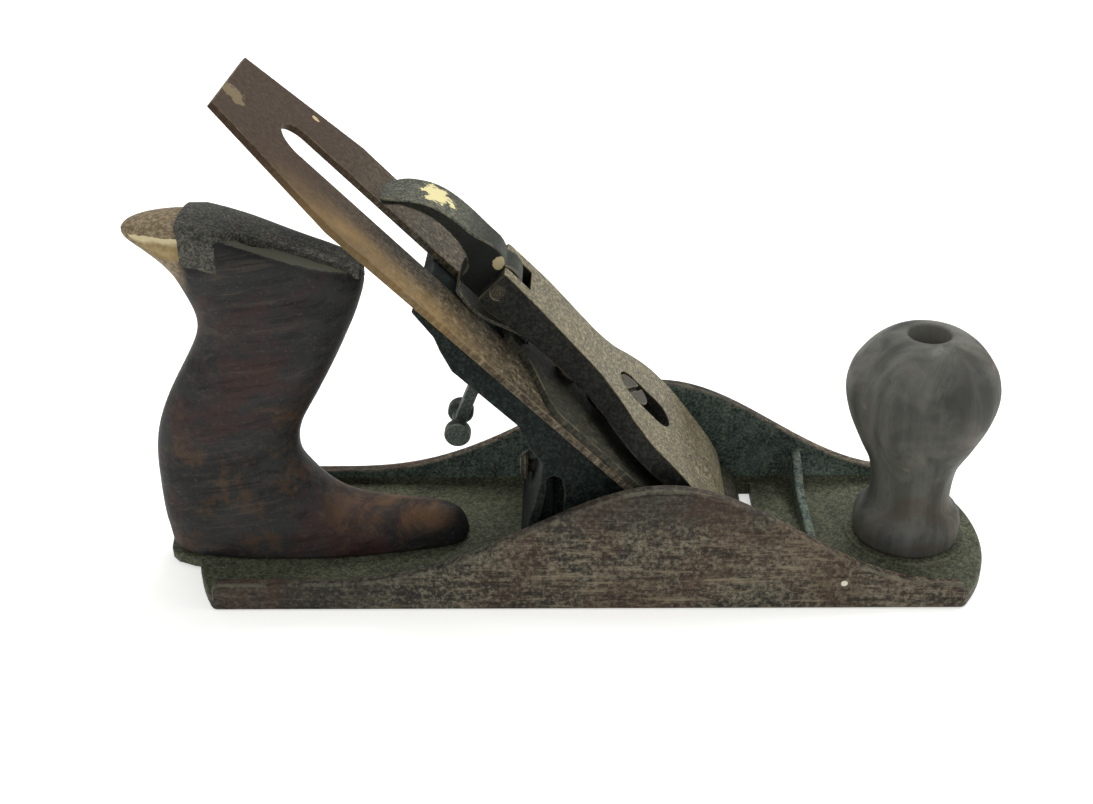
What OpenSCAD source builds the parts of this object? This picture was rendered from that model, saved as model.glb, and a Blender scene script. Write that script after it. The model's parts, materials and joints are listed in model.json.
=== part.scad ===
// Metal bench plane for smoothing, with a lever that sets the depth of cut.
// The origin lies on the sole, midway along the casting and on its centre line.
// +X points to the toe, +Z points up, and the sole lies in the plane Z = 0.
// Sizes are in millimetres. A station is a distance from the heel end of the casting.
// Pieces on the bed are drawn as [up the bed from the cutting edge, height above the iron].

/* [Body casting] */
// Overall length of the casting along the sole
body_l = 227.6; // [215:0.1:260]
// Overall width of the casting
body_w = 62; // [60:0.5:70]
// Thickness of the sole
sole_t = 4; // [3:0.1:6]
// Thickness of the side walls
cheek_t = 3.4; // [2.4:0.1:4]
// Peak height of the side walls
cheek_h = 39; // [30:0.1:46]
// Height of the side walls near the heel
cheek_heel_h = 8.8; // [7:0.1:14]
// Height of the side walls at the toe
cheek_toe_h = 8; // [7:0.1:14]
// Station of the side walls' peak
cheek_peak_s = 134.6; // [125:0.1:142]
// Length of the side walls' rise behind the peak
cheek_rear_l = 97; // [80:1:110]
// Length of the side walls' fall ahead of the peak
cheek_front_l = 79; // [60:1:80]
// Depth of the curved heel end in plan
heel_bulge = 8.8; // [6:0.1:14]
// Depth of the curved toe end in plan
toe_bulge = 10.8; // [8:0.1:16]
// Radius of the corners in plan
corner_r = 2.5; // [1:0.1:4]
// Radius of the side walls' ends, seen from the side
cheek_end_r = 3; // [1:0.1:3.5]
// Station of the cross rib ahead of the mouth
rib_s = 177.7; // [174:0.1:184]
// Thickness of the cross rib
rib_t = 2.7; // [2:0.1:4]
// Height of the cross rib at the middle
rib_h = 9; // [7:0.1:11]
// Height of the cross rib at the side walls
rib_end_h = 15.5; // [11:0.1:16]

/* [Mouth and bed] */
// Height of the underside of the rest behind the heel
heel_rest_z = 0.6; // [0.5:0.1:2]
// Angle of the bed above the sole
bed_angle = 46.4; // [44:0.1:48]
// Station of the cutting edge
edge_s = 160.2; // [156:0.1:164]
// Gap between the cutting edge and the front of the mouth
mouth_gap = 3.8; // [1:0.1:5]
// Gap between the iron's lower face and the back of the mouth
mouth_back_gap = 0.4; // [0.2:0.1:1]
// Gap on each side between the iron and the mouth
mouth_side_gap = 1.2; // [0.6:0.1:1.5]
// Height of the cutting edge above the sole at rest
edge_up = 0.3; // [0.3:0.1:1]

/* [Frog] */
// Width of the frog
frog_w = 43; // [41:0.5:46]
// Thickness of the frog's bed plate
frog_t = 3.4; // [2.6:0.1:4]
// Thickness of the frog's side webs and rear wall
frog_web_t = 3; // [2.4:0.1:4]
// Length of the bed plate up from the cutting edge
frog_l = 125; // [120:0.5:130]
// Clearance between the frog and the iron
frog_fit = 0.05; // [0.02:0.01:0.2]
// Height of the machined seat under the frog
frog_seat_h = 1.5; // [1:0.1:2.5]
// Thickness of the frog's foot
frog_foot_t = 4; // [3:0.1:5]
// Distance from the cutting edge back to the frog's heel, at its foot
frog_foot_l = 66; // [64:0.5:68]
// Distance from the cutting edge back to the fixing screws
frog_screw_back = 34; // [30:0.5:38]
// Distance between the two fixing screws
frog_screw_gap = 22; // [18:0.5:26]
// Radius of the fixing screws' shanks
frog_screw_r = 2.6; // [2:0.1:3]
// Radius of the fixing screws' heads
frog_head_r = 4.6; // [4:0.1:5.5]
// Thickness of the fixing screws' heads
frog_head_t = 3; // [2:0.1:4]
// Thickness of the fixing screws' washers
washer_t = 1.2; // [0.8:0.1:2]
// Height of the rear screw above the sole
rear_screw_z = 28; // [26:0.5:31]
// Radius of the rear screw's shank
rear_screw_r = 2; // [1.5:0.1:2.4]
// Radius of the rear screw's head
rear_head_r = 4.2; // [3.5:0.1:5]
// Thickness of the lug inside the frog that takes the rear screw
lug_t = 5; // [4:0.5:6]

/* [Cutter iron] */
// Width of the cutter iron
iron_w = 50.8; // [50:0.1:52]
// Length of the cutter iron
iron_l = 195.2; // [188:0.1:200]
// Thickness of the cutter iron
iron_t = 2; // [1.6:0.1:3]
// Distance from the edge to the start of the tapered end
iron_taper_l = 156; // [140:1:160]
// Half width of the iron where the tapered end starts
iron_mid_half = 28.9; // [25.4:0.1:29.5]
// Half width at the iron's top end
iron_top_half = 18.8; // [14:0.1:25]
// Width of the iron's slot
iron_slot_w = 14.2; // [12:0.1:17]
// Distance from the edge to the lower end of the slot
iron_slot_a = 52; // [50:0.5:54]
// Distance from the edge to the upper end of the slot
iron_slot_b = 178; // [170:0.5:184]
// Angle of the ground bevel
bevel_angle = 27; // [25:1:35]

/* [Cap iron] */
// Thickness of the cap iron
cap_iron_t = 2; // [1.6:0.1:2.2]
// Distance from the cutting edge to the cap iron's edge
cap_iron_set = 1.2; // [0.8:0.1:1.6]
// Distance from the cutting edge to the top of the cap iron's hump
hump_a = 9; // [8:0.1:10]
// Height of the hump above the cap iron's flat
hump_h = 2.4; // [1.6:0.1:2.5]
// Length of the slope behind the hump
hump_l = 17; // [14:0.5:20]
// Distance from the cap iron screw up to the start of the cap iron's rounded end
cap_iron_full_gap = 1; // [-4:0.5:2]
// Distance from the adjuster's pivot up to the cap iron's upper end
cap_iron_end = 5.5; // [5:0.1:6]
// Half width of the cap iron's upper end
cap_iron_end_half = 9; // [7:0.5:12]
// Distance from the lever cap screw up to the cap iron screw
cap_screw_gap = 16.8; // [16.8:0.1:17.2]
// Radius of the cap iron screw's head
cap_screw_head_r = 9.5; // [9:0.1:9.6]
// Thickness of the cap iron screw's head
cap_screw_head_t = 2.2; // [1.6:0.1:2.4]
// Radius of the cap iron screw's shank
cap_screw_r = 3.4; // [3:0.1:4]
// Length of the cap iron screw that stands above the cap iron
cap_screw_up = 0.8; // [0.4:0.1:1]

/* [Lever cap] */
// Distance from the cutting edge to the lever cap's lip
cap_lip_a = 15; // [14.5:0.1:17]
// Height of the lip's underside above the iron
cap_lip_h = 4.3; // [4.2:0.1:4.6]
// Thickness of the lip at its front
cap_lip_t = 1.2; // [0.8:0.1:2]
// Half width of the lever cap's broad lower part
cap_half = 23.5; // [20:0.1:25]
// Half width of the lever cap's narrow upper part
cap_neck_half = 11.4; // [11.2:0.1:14]
// Thickness of the lever cap's top plate
cap_plate_t = 3.6; // [3:0.1:4.5]
// Thickness of the lever cap's side walls
cap_wall_t = 2.4; // [2:0.1:2.6]
// Height of the side walls' lower edges above the iron
cap_skirt_h = 5.8; // [5.6:0.1:6.4]
// Height of the lever cap's face at the lever cap screw
cap_face_h = 12.2; // [12:0.1:13.5]
// Distance that the lever cap slides up the bed to come off
cap_travel = 8.8; // [8:0.1:12]
// Radius of the keyhole's wide hole
key_hole_r = 6; // [5.9:0.1:7]

/* [Lever cap screw] */
// Distance from the cutting edge to the lever cap screw
cap_bolt_a = 61.2; // [60.6:0.1:61.2]
// Radius of the lever cap screw's head
cap_bolt_head_r = 5.4; // [5:0.1:5.6]
// Thickness of the lever cap screw's head
cap_bolt_head_t = 3; // [2.4:0.1:3.4]
// Radius of the lever cap screw's shank
cap_bolt_r = 3.18; // [2.8:0.02:3.3]
// Depth of the frog's boss for the screw below the iron's face
cap_boss_h = 12; // [10:0.5:13.5]

/* [Cam lever and spring] */
// Distance from the cap iron screw up to the cam pin
cam_gap = 33; // [32:0.1:34]
// Height of the cam pin above the iron
cam_h = 9.6; // [9.2:0.1:10]
// Radius of the cam pin
cam_pin_r = 2; // [1.5:0.1:2.5]
// Radius of the cam lever's hub
cam_hub_r = 6; // [5:0.1:6.2]
// Thickness of the cam lever between the lever cap's ears
cam_hub_w = 10.8; // [9:0.1:11.4]
// Width of the cam lever's thumb piece
cam_thumb_w = 16; // [12:0.5:19]
// Reach of the cam lever beyond its pin
cam_reach = 38.3; // [34:0.1:42]
// Width of the leaf spring
spring_w = 17.2; // [12:0.1:17.4]
// Thickness of the leaf spring
spring_t = 1; // [0.6:0.1:1.2]
// Radius of the spring's rivet
rivet_r = 1.5; // [1:0.1:2]

/* [Depth adjuster] */
// Distance from the cap iron screw up to the adjuster's pivot
adj_gap = 17; // [16.8:0.1:17.4]
// Depth of the pivot below the iron's upper face
adj_h = 11.7; // [11:0.1:12.2]
// Radius of the adjuster's pivot pin
adj_pin_r = 2; // [1.5:0.1:2.2]
// Radius of the adjusting lever's hub
adj_hub_r = 3.6; // [3.2:0.1:4]
// Width of the adjusting lever's hub
adj_hub_w = 8.2; // [6:0.1:8.6]
// Width of the adjusting lever's arm
adj_arm_w = 4.4; // [3:0.1:5]
// Drop of the finger discs below the pivot
adj_drop = 18.2; // [14:0.1:22]
// Distance of the finger discs behind the pivot
adj_back = 8.7; // [5:0.1:12]
// Radius of the finger discs
disc_r = 3.7; // [3:0.1:4.5]
// Thickness of the finger discs
disc_t = 3; // [2:0.1:4]
// Distance between the middles of the finger discs
disc_gap = 12.6; // [10:0.1:16]
// Radius of the tooth that moves the iron
tooth_r = 2.2; // [1.8:0.1:2.4]
// Width of the tooth
tooth_w = 6.4; // [5:0.1:6.6]

/* [Knob] */
// Station of the knob's axis
knob_s = 206.3; // [203:0.1:207]
// Height of the knob
knob_h = 64.6; // [55:0.1:75]
// Largest radius of the knob
knob_r = 20.8; // [17:0.1:22]
// Radius of the knob's foot
knob_foot_r = 15.1; // [13:0.1:17]
// Smallest radius of the knob's neck
knob_neck_r = 11.25; // [9:0.05:13]
// Radius of the raised seat under the knob
knob_seat_r = 17.4; // [16:0.1:18]
// Height of the raised seat under the knob
knob_seat_h = 0.8; // [0.4:0.1:1.5]
// Radius of the hole for the knob's nut
knob_hole_r = 5.7; // [5:0.1:7]
// Depth of the hole for the knob's nut
knob_hole_d = 13; // [8:0.5:20]
// Radius of the rods that hold the knob and the tote
rod_r = 2.6; // [2:0.1:3]
// Length of the nuts on the rods
nut_l = 7; // [5:0.5:7.5]

/* [Tote] */
// Station of the tote's reference point, level with the heel corners
tote_s = 8.8; // [8:0.1:12]
// Height of the tote above the bed
tote_h = 103; // [95:0.5:110]
// Half width of the tote's foot
tote_foot_half = 13.4; // [12:0.1:15]
// Half width of the tote's grip
tote_grip_half = 11.4; // [10:0.1:13]
// Half width of the tote's head
tote_head_half = 12.3; // [10:0.1:14]
// Lean of the tote's rod from upright
tote_rod_lean = 11.5; // [9:0.5:13]
// Depth of the hole for the tote's nut along the rod
tote_hole_d = 12; // [9:0.5:14]
// Thickness of the wrapped cap over the tote's head
wrap_t = 2.3; // [2:0.1:4]

/* [Clearances] */
// Radial clearance of a screw in its threaded hole
thread_fit = 0.05; // [0.03:0.01:0.1]
// Radial clearance of a screw or rod in a plain hole
hole_fit = 0.3; // [0.2:0.05:0.5]
// Radial clearance of a fixed pin in its holes
pin_fit = 0.02; // [0.01:0.01:0.04]
// Radial clearance of a piece that turns on a pin
run_fit = 0.06; // [0.03:0.01:0.1]
// Gap kept between pieces that pass each other
gap = 0.3; // [0.2:0.05:0.4]
// Width of the screwdriver slots
driver_w = 1.2; // [0.8:0.1:1.6]

/* [Hidden] */
$fn = 64;
eps = 0.01;
over = 1;

half_l = body_l / 2;
heel_r = (pow(body_w / 2, 2) + pow(heel_bulge, 2)) / (2 * heel_bulge);
toe_r = (pow(body_w / 2, 2) + pow(toe_bulge, 2)) / (2 * toe_bulge);
edge_x = edge_s - half_l;
inner_w = body_w - 2 * cheek_t;
mouth_w = iron_w + 2 * mouth_side_gap;
iron_rise = edge_up / sin(bed_angle);
frog_top = -iron_t - frog_fit;
frog_under = frog_top - frog_t;
foot_z = sole_t + frog_seat_h;
heel_x = edge_x - frog_foot_l;
lug_x = heel_x + 9.4;
foot_top = foot_z + frog_foot_t;
frog_far_z = 100;
plug_z = 1.2;
stroke = 1.8;
cap_screw_a = cap_bolt_a + cap_screw_gap;
cap_iron_full = cap_screw_a + cap_iron_full_gap;
adj_a = cap_screw_a + adj_gap;
cam_a = cap_screw_a + cam_gap;
cap_iron_l = adj_a + cap_iron_end;
cap_floor = cap_face_h - 0.2 - cap_bolt_head_t;
key_a = cap_bolt_a - cap_travel;
boss_a = cap_screw_a + 5;
boss_fit = 0.1;
rear_bias = 1.27;
front_bias = 1.09;
ear_r = cap_face_h + 3 - cam_h;
cam_clear_r = 8.3;
knob_z = sole_t + knob_seat_h;
wood_cut = tan(19.8);
wrap_step = 2.4;
wrap_drop = 6.2;
wrap_knee = 14.7;
wrap_bend = wrap_knee - (wrap_drop - wrap_step) / wood_cut;
wrap_x0 = -1;
wrap_x1 = 45;
wrap_ledge_n = 3;
heel_rest_l = 60;
tote_rear = -17.6;
tote_front = 70;
foot_square = 3.2;
foot_x = 24;
foot_h = 26.4;

// A station along the casting as X
function st(s) = s - half_l;

// Ease from 0 to 1 as t goes from 0 to 1
function ease(t) = t <= 0 ? 0 : t >= 1 ? 1 : t * t * (3 - 2 * t);
function mix(a, b, t) = a + (b - a) * t;

// A smooth curve through the points of p, with n steps from each to the next
function bend(p, i, t) =
    let (a = p[max(i - 1, 0)], b = p[i], c = p[i + 1], d = p[min(i + 2, len(p) - 1)])
    0.5 * (2 * b + (c - a) * t + (2 * a - 5 * b + 4 * c - d) * t * t
           + (3 * b - a - 3 * c + d) * t * t * t);
function curve(p, n) =
    concat([for (i = [0:len(p) - 2]) for (k = [0:n - 1]) bend(p, i, k / n)], [p[len(p) - 1]]);
function back(p) = [for (i = [len(p) - 1:-1:0]) p[i]];

// X of the line that lies h above the iron's face, at height z over the sole
function bed_x(z, h) = edge_x - z / tan(bed_angle) + h / sin(bed_angle);

// Children drawn as [up the bed, across, height] stand on the bed
module on_bed() {
    translate([edge_x, 0, 0]) rotate([0, bed_angle, 0]) rotate([0, 0, 180]) children();
}

// A side view drawn in X and Z is given the width w across the plane
module side(w) {
    rotate([90, 0, 0]) linear_extrude(height = w, center = true) children();
}

// A round bar across the plane
module across(r, w) {
    rotate([90, 0, 0]) cylinder(r = r, h = w, center = true);
}

// A slot's plan from x = a to x = b, with round ends inside that length
module slot(a, b, w) {
    translate([a + w / 2, 0]) circle(d = w);
    translate([b - w / 2, 0]) circle(d = w);
    translate([a + w / 2, -w / 2]) square([b - a - w, w]);
}

// The part of a corner that its radius takes off, at the end with the arc radius r
module corner_waste(r, dir) {
    k = body_w / 2 - corner_r;
    c = [half_l - r + sqrt(pow(r - corner_r, 2) - k * k), k];
    m = [half_l - r, 0];
    t = m + (c - m) * r / (r - corner_r);
    for (s = [-1, 1]) scale([dir, s]) difference() {
        polygon([c, [c[0], body_w / 2 + over], [half_l + over, body_w / 2 + over],
                 [half_l + over, t[1]], t]);
        translate(c) circle(corner_r);
    }
}

// Plan of the casting, with curved ends
module plan() {
    difference() {
        intersection() {
            square([body_l, body_w], center = true);
            union() {
                translate([heel_r - half_l, 0]) circle(heel_r, $fn = 128);
                translate([half_l - toe_r, 0]) circle(toe_r, $fn = 128);
                translate([heel_r - half_l, -body_w / 2])
                    square([body_l - heel_r - toe_r, body_w]);
            }
        }
        corner_waste(toe_r, 1);
        corner_waste(heel_r, -1);
    }
}

// Height of a side wall at x
function cheek_z(x) =
    let (peak = st(cheek_peak_s),
         a = max(0, 1 - (peak - x) / cheek_rear_l),
         b = max(0, 1 - (x - peak) / cheek_front_l))
    x < peak ? mix(cheek_heel_h, cheek_h, (1 - cos(180 * pow(a, rear_bias))) / 2)
             : mix(cheek_toe_h, cheek_h, (1 - cos(180 * pow(b, front_bias))) / 2);

module cheek_side() {
    x0 = heel_bulge - half_l;
    x1 = half_l - toe_bulge;
    n = 56;
    top = [for (i = [0:n]) let (x = mix(x0 + cheek_end_r, x1 - cheek_end_r, i / n))
           [x, cheek_z(x)]];
    r = cheek_end_r;
    polygon(concat([[x0, 0]],
        [for (q = [0:15:75]) [x0 + r - r * cos(q), cheek_heel_h - r + r * sin(q)]],
        top,
        [for (q = [75:-15:0]) [x1 - r + r * cos(q), cheek_toe_h - r + r * sin(q)]],
        [[x1, 0]]));
}

module body_casting() {
    rib_x = st(rib_s);
    color([0.23, 0.19, 0.17]) difference() {
        union() {
            linear_extrude(height = sole_t) plan();
            intersection() {
                linear_extrude(height = cheek_h + over) plan();
                for (s = [-1, 1])
                    translate([0, s * (body_w - cheek_t) / 2, 0]) side(cheek_t) cheek_side();
            }
            // Cross rib that sweeps up to the side walls
            translate([rib_x, 0, 0]) rotate([90, 0, 90])
                linear_extrude(height = rib_t, center = true)
                    polygon(concat([[-inner_w / 2 - eps, sole_t / 2]],
                        [for (i = [0:24]) let (y = mix(-1, 1, i / 24) * (inner_w / 2 + eps))
                            [y, mix(rib_h, rib_end_h, ease((abs(y) - 12) / (inner_w / 2 - 12)))]],
                        [[inner_w / 2 + eps, sole_t / 2]]));
            // Machined seat under the frog
            translate([heel_x + 3, 3 - frog_w / 2, sole_t / 2])
                cube([frog_foot_l - 16.5, frog_w - 6, sole_t / 2 + frog_seat_h]);
            // Lug for the frog's rear screw
            translate([lug_x, -lug_t, sole_t / 2])
                cube([lug_t, 2 * lug_t, rear_screw_z + lug_t - sole_t / 2]);
            // Rest for the tote's foot, which runs out past the heel
            translate([st(tote_s), 0, heel_rest_z]) linear_extrude(height = sole_t - heel_rest_z)
                polygon([for (p = tote_ring([0, tote_rear - 0.6, 0, tote_foot_half + 0.4,
                                             foot_square], heel_rest_l))
                    [p[0] - st(tote_s), p[1]]]);
            // Seats under the knob and the tote
            translate([st(knob_s), 0, sole_t / 2])
                cylinder(r = knob_seat_r, h = knob_z - sole_t / 2);
            tote_stud(6, sole_t / 2, 8);
        }
        // Mouth, with its back parallel to the iron
        side(mouth_w) polygon([
            [bed_x(-over, -iron_t - mouth_back_gap), -over], [edge_x + mouth_gap, -over],
            [edge_x + mouth_gap, sole_t + over],
            [bed_x(sole_t + over, -iron_t - mouth_back_gap), sole_t + over]]);
        // Threaded holes
        for (s = [-1, 1])
            translate([edge_x - frog_screw_back, s * frog_screw_gap / 2, plug_z])
                cylinder(r = frog_screw_r + thread_fit, h = foot_z);
        translate([lug_x - over, 0, rear_screw_z]) rotate([0, 90, 0])
            cylinder(r = rear_screw_r + thread_fit, h = lug_t + 2 * over);
        translate([st(knob_s), 0, plug_z]) cylinder(r = rod_r + thread_fit, h = knob_z);
        along_tote_rod() translate([0, 0, plug_z]) cylinder(r = rod_r + thread_fit, h = 12);
    }
}

// Children stand along the tote's rod, from where its axis meets the sole
module along_tote_rod() {
    translate([st(tote_s) - 2.8, 0, 0]) rotate([0, tote_rod_lean, 0]) children();
}

// A round stud of radius r round the foot of the tote's rod, from height a to height b
module tote_stud(r, a, b) {
    translate([st(tote_s) - 2.8 + tan(tote_rod_lean) * sole_t, 0, a])
        cylinder(r = r, h = b - a);
}

// Profile of the frog's rear wall, from the top down: distance ahead of its heel, and height
frog_rear = [[7.5, 41], [6, 34], [3.7, 26], [1.2, 16]];

// Side view of a web: the whole of it, under the bed plate and down to the foot
module frog_web_side() {
    function q(a, h) = [edge_x - a * cos(bed_angle) + h * sin(bed_angle),
                        a * sin(bed_angle) + h * cos(bed_angle)];
    polygon(concat([[edge_x - 11.4, foot_z], [bed_x(foot_top, frog_top), foot_top],
        q(frog_l, frog_top), q(frog_l + 1, -6), q(frog_l - 8, -7.2), q(frog_l - 12, -9),
        q(frog_l - 18, -11), q(frog_l - 42, -10.3), [heel_x + 4, 46]],
        [for (p = frog_rear) [heel_x + p[0], p[1]]], [[heel_x, foot_top], [heel_x, foot_z]]));
}

// The arched opening behind the web
module frog_arch_side() {
    translate([heel_x, 0]) polygon(concat(
        [[4.2, foot_top], [5.2, 20], [8, 32]],
        [for (q = [150:-30:30]) [10.4 + 2.4 * cos(q), 35 + 2.6 * sin(q)]],
        [[13, 32], [12, 20], [11.5, foot_top]]));
}

module frog() {
    color([0.24, 0.26, 0.24]) difference() {
        union() {
            difference() {
                side(frog_w) frog_web_side();
                // Hollow between the webs, under the plate and above the foot
                side(frog_w - 2 * frog_web_t) polygon(concat([
                    [heel_x + frog_web_t, foot_top], [bed_x(foot_top, frog_under), foot_top],
                    [bed_x(frog_far_z, frog_under), frog_far_z],
                    [heel_x - frog_foot_l, frog_far_z / 2], [heel_x + 4, 41.5]],
                    [for (p = frog_rear) [heel_x + p[0] + frog_web_t, p[1]]]));
                side(frog_w + over) frog_arch_side();
                // Openings in the bed plate for the cap iron screw and the tooth
                on_bed() {
                    w = cap_screw_head_r + 0.8;
                    a = cap_screw_a - cap_screw_head_r - stroke - gap;
                    b = cap_screw_a + cap_screw_head_r + stroke + gap;
                    translate([a, -w, frog_under - over]) cube([b - a, 2 * w, frog_t + 2 * over]);
                    translate([adj_a - 6, -tooth_w / 2 - 0.7, frog_under - over])
                        cube([12, tooth_w + 1.4, frog_t + 2 * over]);
                }
            }
            on_bed() {
                // Boss for the lever cap screw
                translate([cap_bolt_a, 0, -cap_boss_h]) cylinder(r = cap_bolt_r + 2, h = cap_boss_h
                    + frog_under + frog_t / 2);
                // Lugs for the adjuster's pin
                for (s = [-1, 1]) translate([0, s * (adj_hub_w / 2 + 0.1 + 2), 0]) {
                    translate([adj_a, 0, -adj_h]) across(adj_hub_r, 4);
                    translate([adj_a - adj_hub_r, -2, -adj_h])
                        cube([2 * adj_hub_r, 4, adj_h + frog_under + frog_t / 2]);
                }
            }
        }
        on_bed() {
            translate([cap_bolt_a, 0, -cap_boss_h - over])
                cylinder(r = cap_bolt_r + thread_fit, h = cap_boss_h + over);
            translate([adj_a, 0, -adj_h]) across(adj_pin_r + pin_fit, 2 * adj_hub_w);
        }
        for (s = [-1, 1])
            translate([edge_x - frog_screw_back, s * frog_screw_gap / 2, foot_z - over])
                cylinder(r = frog_screw_r + hole_fit, h = frog_foot_t + 2 * over);
        translate([heel_x - 4, 0, rear_screw_z]) rotate([0, 90, 0])
            cylinder(r = rear_screw_r + hole_fit, h = 16);
        // Clearance round the casting's lug
        translate([lug_x - gap, -lug_t - gap, foot_z - over])
            cube([lug_t + 2 * gap, 2 * (lug_t + gap), frog_foot_t + 2 * over]);
    }
}

module frog_screws() {
    z = foot_top + washer_t;
    color([0.3, 0.29, 0.27]) for (s = [-1, 1])
        translate([edge_x - frog_screw_back, s * frog_screw_gap / 2, 0]) difference() {
            union() {
                translate([0, 0, plug_z + gap]) cylinder(r = frog_screw_r, h = z - plug_z - gap);
                translate([0, 0, z]) cylinder(r = frog_head_r, h = frog_head_t);
            }
            translate([-driver_w / 2, -2 * frog_head_r, z + frog_head_t / 2])
                cube([driver_w, 4 * frog_head_r, frog_head_t]);
        }
}

module frog_washers() {
    color([0.34, 0.33, 0.31]) for (s = [-1, 1])
        translate([edge_x - frog_screw_back, s * frog_screw_gap / 2, foot_top])
            difference() {
                cylinder(r = frog_head_r + 1.2, h = washer_t);
                translate([0, 0, -over]) cylinder(r = frog_screw_r + hole_fit, h = 4 * over);
            }
}

// Round head screw through the frog's rear wall
module frog_rear_screw() {
    x = heel_x + 2.6;
    color([0.36, 0.34, 0.31]) difference() {
        union() {
            translate([x, 0, rear_screw_z]) rotate([0, 90, 0])
                cylinder(r = rear_screw_r, h = lug_x + lug_t - x);
            translate([x, 0, rear_screw_z]) rotate([0, -90, 0]) cylinder(r = rear_head_r, h = 1);
            translate([x - 1, 0, rear_screw_z]) rotate([0, -90, 0])
                cylinder(r1 = rear_head_r, r2 = rear_head_r - 1.4, h = 1.4);
        }
        translate([x - 3, -driver_w / 2, rear_screw_z - 2 * rear_head_r])
            cube([2, driver_w, 4 * rear_head_r]);
    }
}

// Lever with a tooth above its pivot and two finger discs below it
module adjusting_lever() {
    px = edge_x - adj_a * cos(bed_angle) - adj_h * sin(bed_angle);
    pz = adj_a * sin(bed_angle) - adj_h * cos(bed_angle);
    tip = [px - adj_back, pz - adj_drop];
    knee = [px - 0.54 * adj_back, pz - 0.46 * adj_drop];
    w = adj_arm_w / 2;
    color([0.2, 0.2, 0.19]) difference() {
        union() {
            translate([px, 0, pz]) across(adj_hub_r, adj_hub_w);
            side(adj_arm_w) {
                polygon([[px - w, pz], [px + w, pz], knee + [w * 0.8, 0], tip + [w * 0.8, 0],
                         tip - [w * 0.8, 0], knee - [w * 0.8, 0]]);
            }
            translate([tip[0], 0, tip[1]]) {
                across(w, disc_gap);
                for (s = [-1, 1]) translate([0, s * disc_gap / 2, 0]) across(disc_r, disc_t);
            }
            on_bed() {
                side(tooth_w) polygon([[adj_a - 2.2, -adj_h], [adj_a - 1.5, -1],
                    [adj_a - 1.5, cap_iron_t / 2], [adj_a + 1.5, cap_iron_t / 2],
                    [adj_a + 1.5, -1], [adj_a + 2.2, -adj_h]]);
                translate([adj_a, 0, cap_iron_t / 2]) across(tooth_r, tooth_w);
            }
        }
        translate([px, 0, pz]) across(adj_pin_r + run_fit, 2 * adj_hub_w);
    }
}

module adjusting_pin() {
    color([0.4, 0.39, 0.37]) on_bed()
        translate([adj_a, 0, -adj_h]) across(adj_pin_r, adj_hub_w + 9);
}

module lever_cap_screw() {
    top = cap_floor + cap_bolt_head_t;
    color([0.42, 0.4, 0.36]) on_bed() translate([cap_bolt_a, 0, 0]) difference() {
        union() {
            translate([0, 0, gap - cap_boss_h])
                cylinder(r = cap_bolt_r, h = cap_floor + cap_boss_h - gap + 0.1);
            translate([0, 0, cap_floor + 0.1]) cylinder(r = cap_bolt_head_r,
                h = cap_bolt_head_t - 0.1);
        }
        rotate([0, 0, 58]) translate([-2 * cap_bolt_head_r, -driver_w / 2, top - 1.3])
            cube([4 * cap_bolt_head_r, driver_w, 4]);
    }
}

// Cutter iron: it widens a little up to its tapered end, and has a long slot
module cutter_iron() {
    w = iron_w / 2;
    a = iron_slot_a - 2;
    color([0.4, 0.35, 0.3]) on_bed() translate([iron_rise, 0, 0]) difference() {
        translate([0, 0, -iron_t]) linear_extrude(height = iron_t) difference() {
            polygon([[0, -w], [a, -w], [iron_taper_l, -iron_mid_half], [iron_l, -iron_top_half],
                     [iron_l, iron_top_half], [iron_taper_l, iron_mid_half], [a, w], [0, w]]);
            slot(iron_slot_a, iron_slot_b, iron_slot_w);
        }
        side(iron_w + over) polygon([[-over, over * tan(bevel_angle)],
            [-over, -iron_t - over], [(iron_t + over) / tan(bevel_angle), -iron_t - over]]);
    }
}

// Top of the cap iron above the iron's face
function hump(a) =
    a > hump_a + hump_l ? cap_iron_t
    : a >= hump_a ? cap_iron_t + hump_h * (1 + cos(180 * (a - hump_a) / hump_l)) / 2
    : (cap_iron_t + hump_h)
      * sqrt(max(0, 1 - pow((hump_a - a) / (hump_a - cap_iron_set), 2)));

// Underside of the cap iron
function hollow(a) =
    a > hump_a + hump_l ? 0
    : a >= hump_a ? hump(a) - cap_iron_t
    : hump_h * sqrt(max(0, 1 - pow((hump_a - a) / (hump_a - cap_iron_set - cap_iron_t), 2)));

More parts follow.
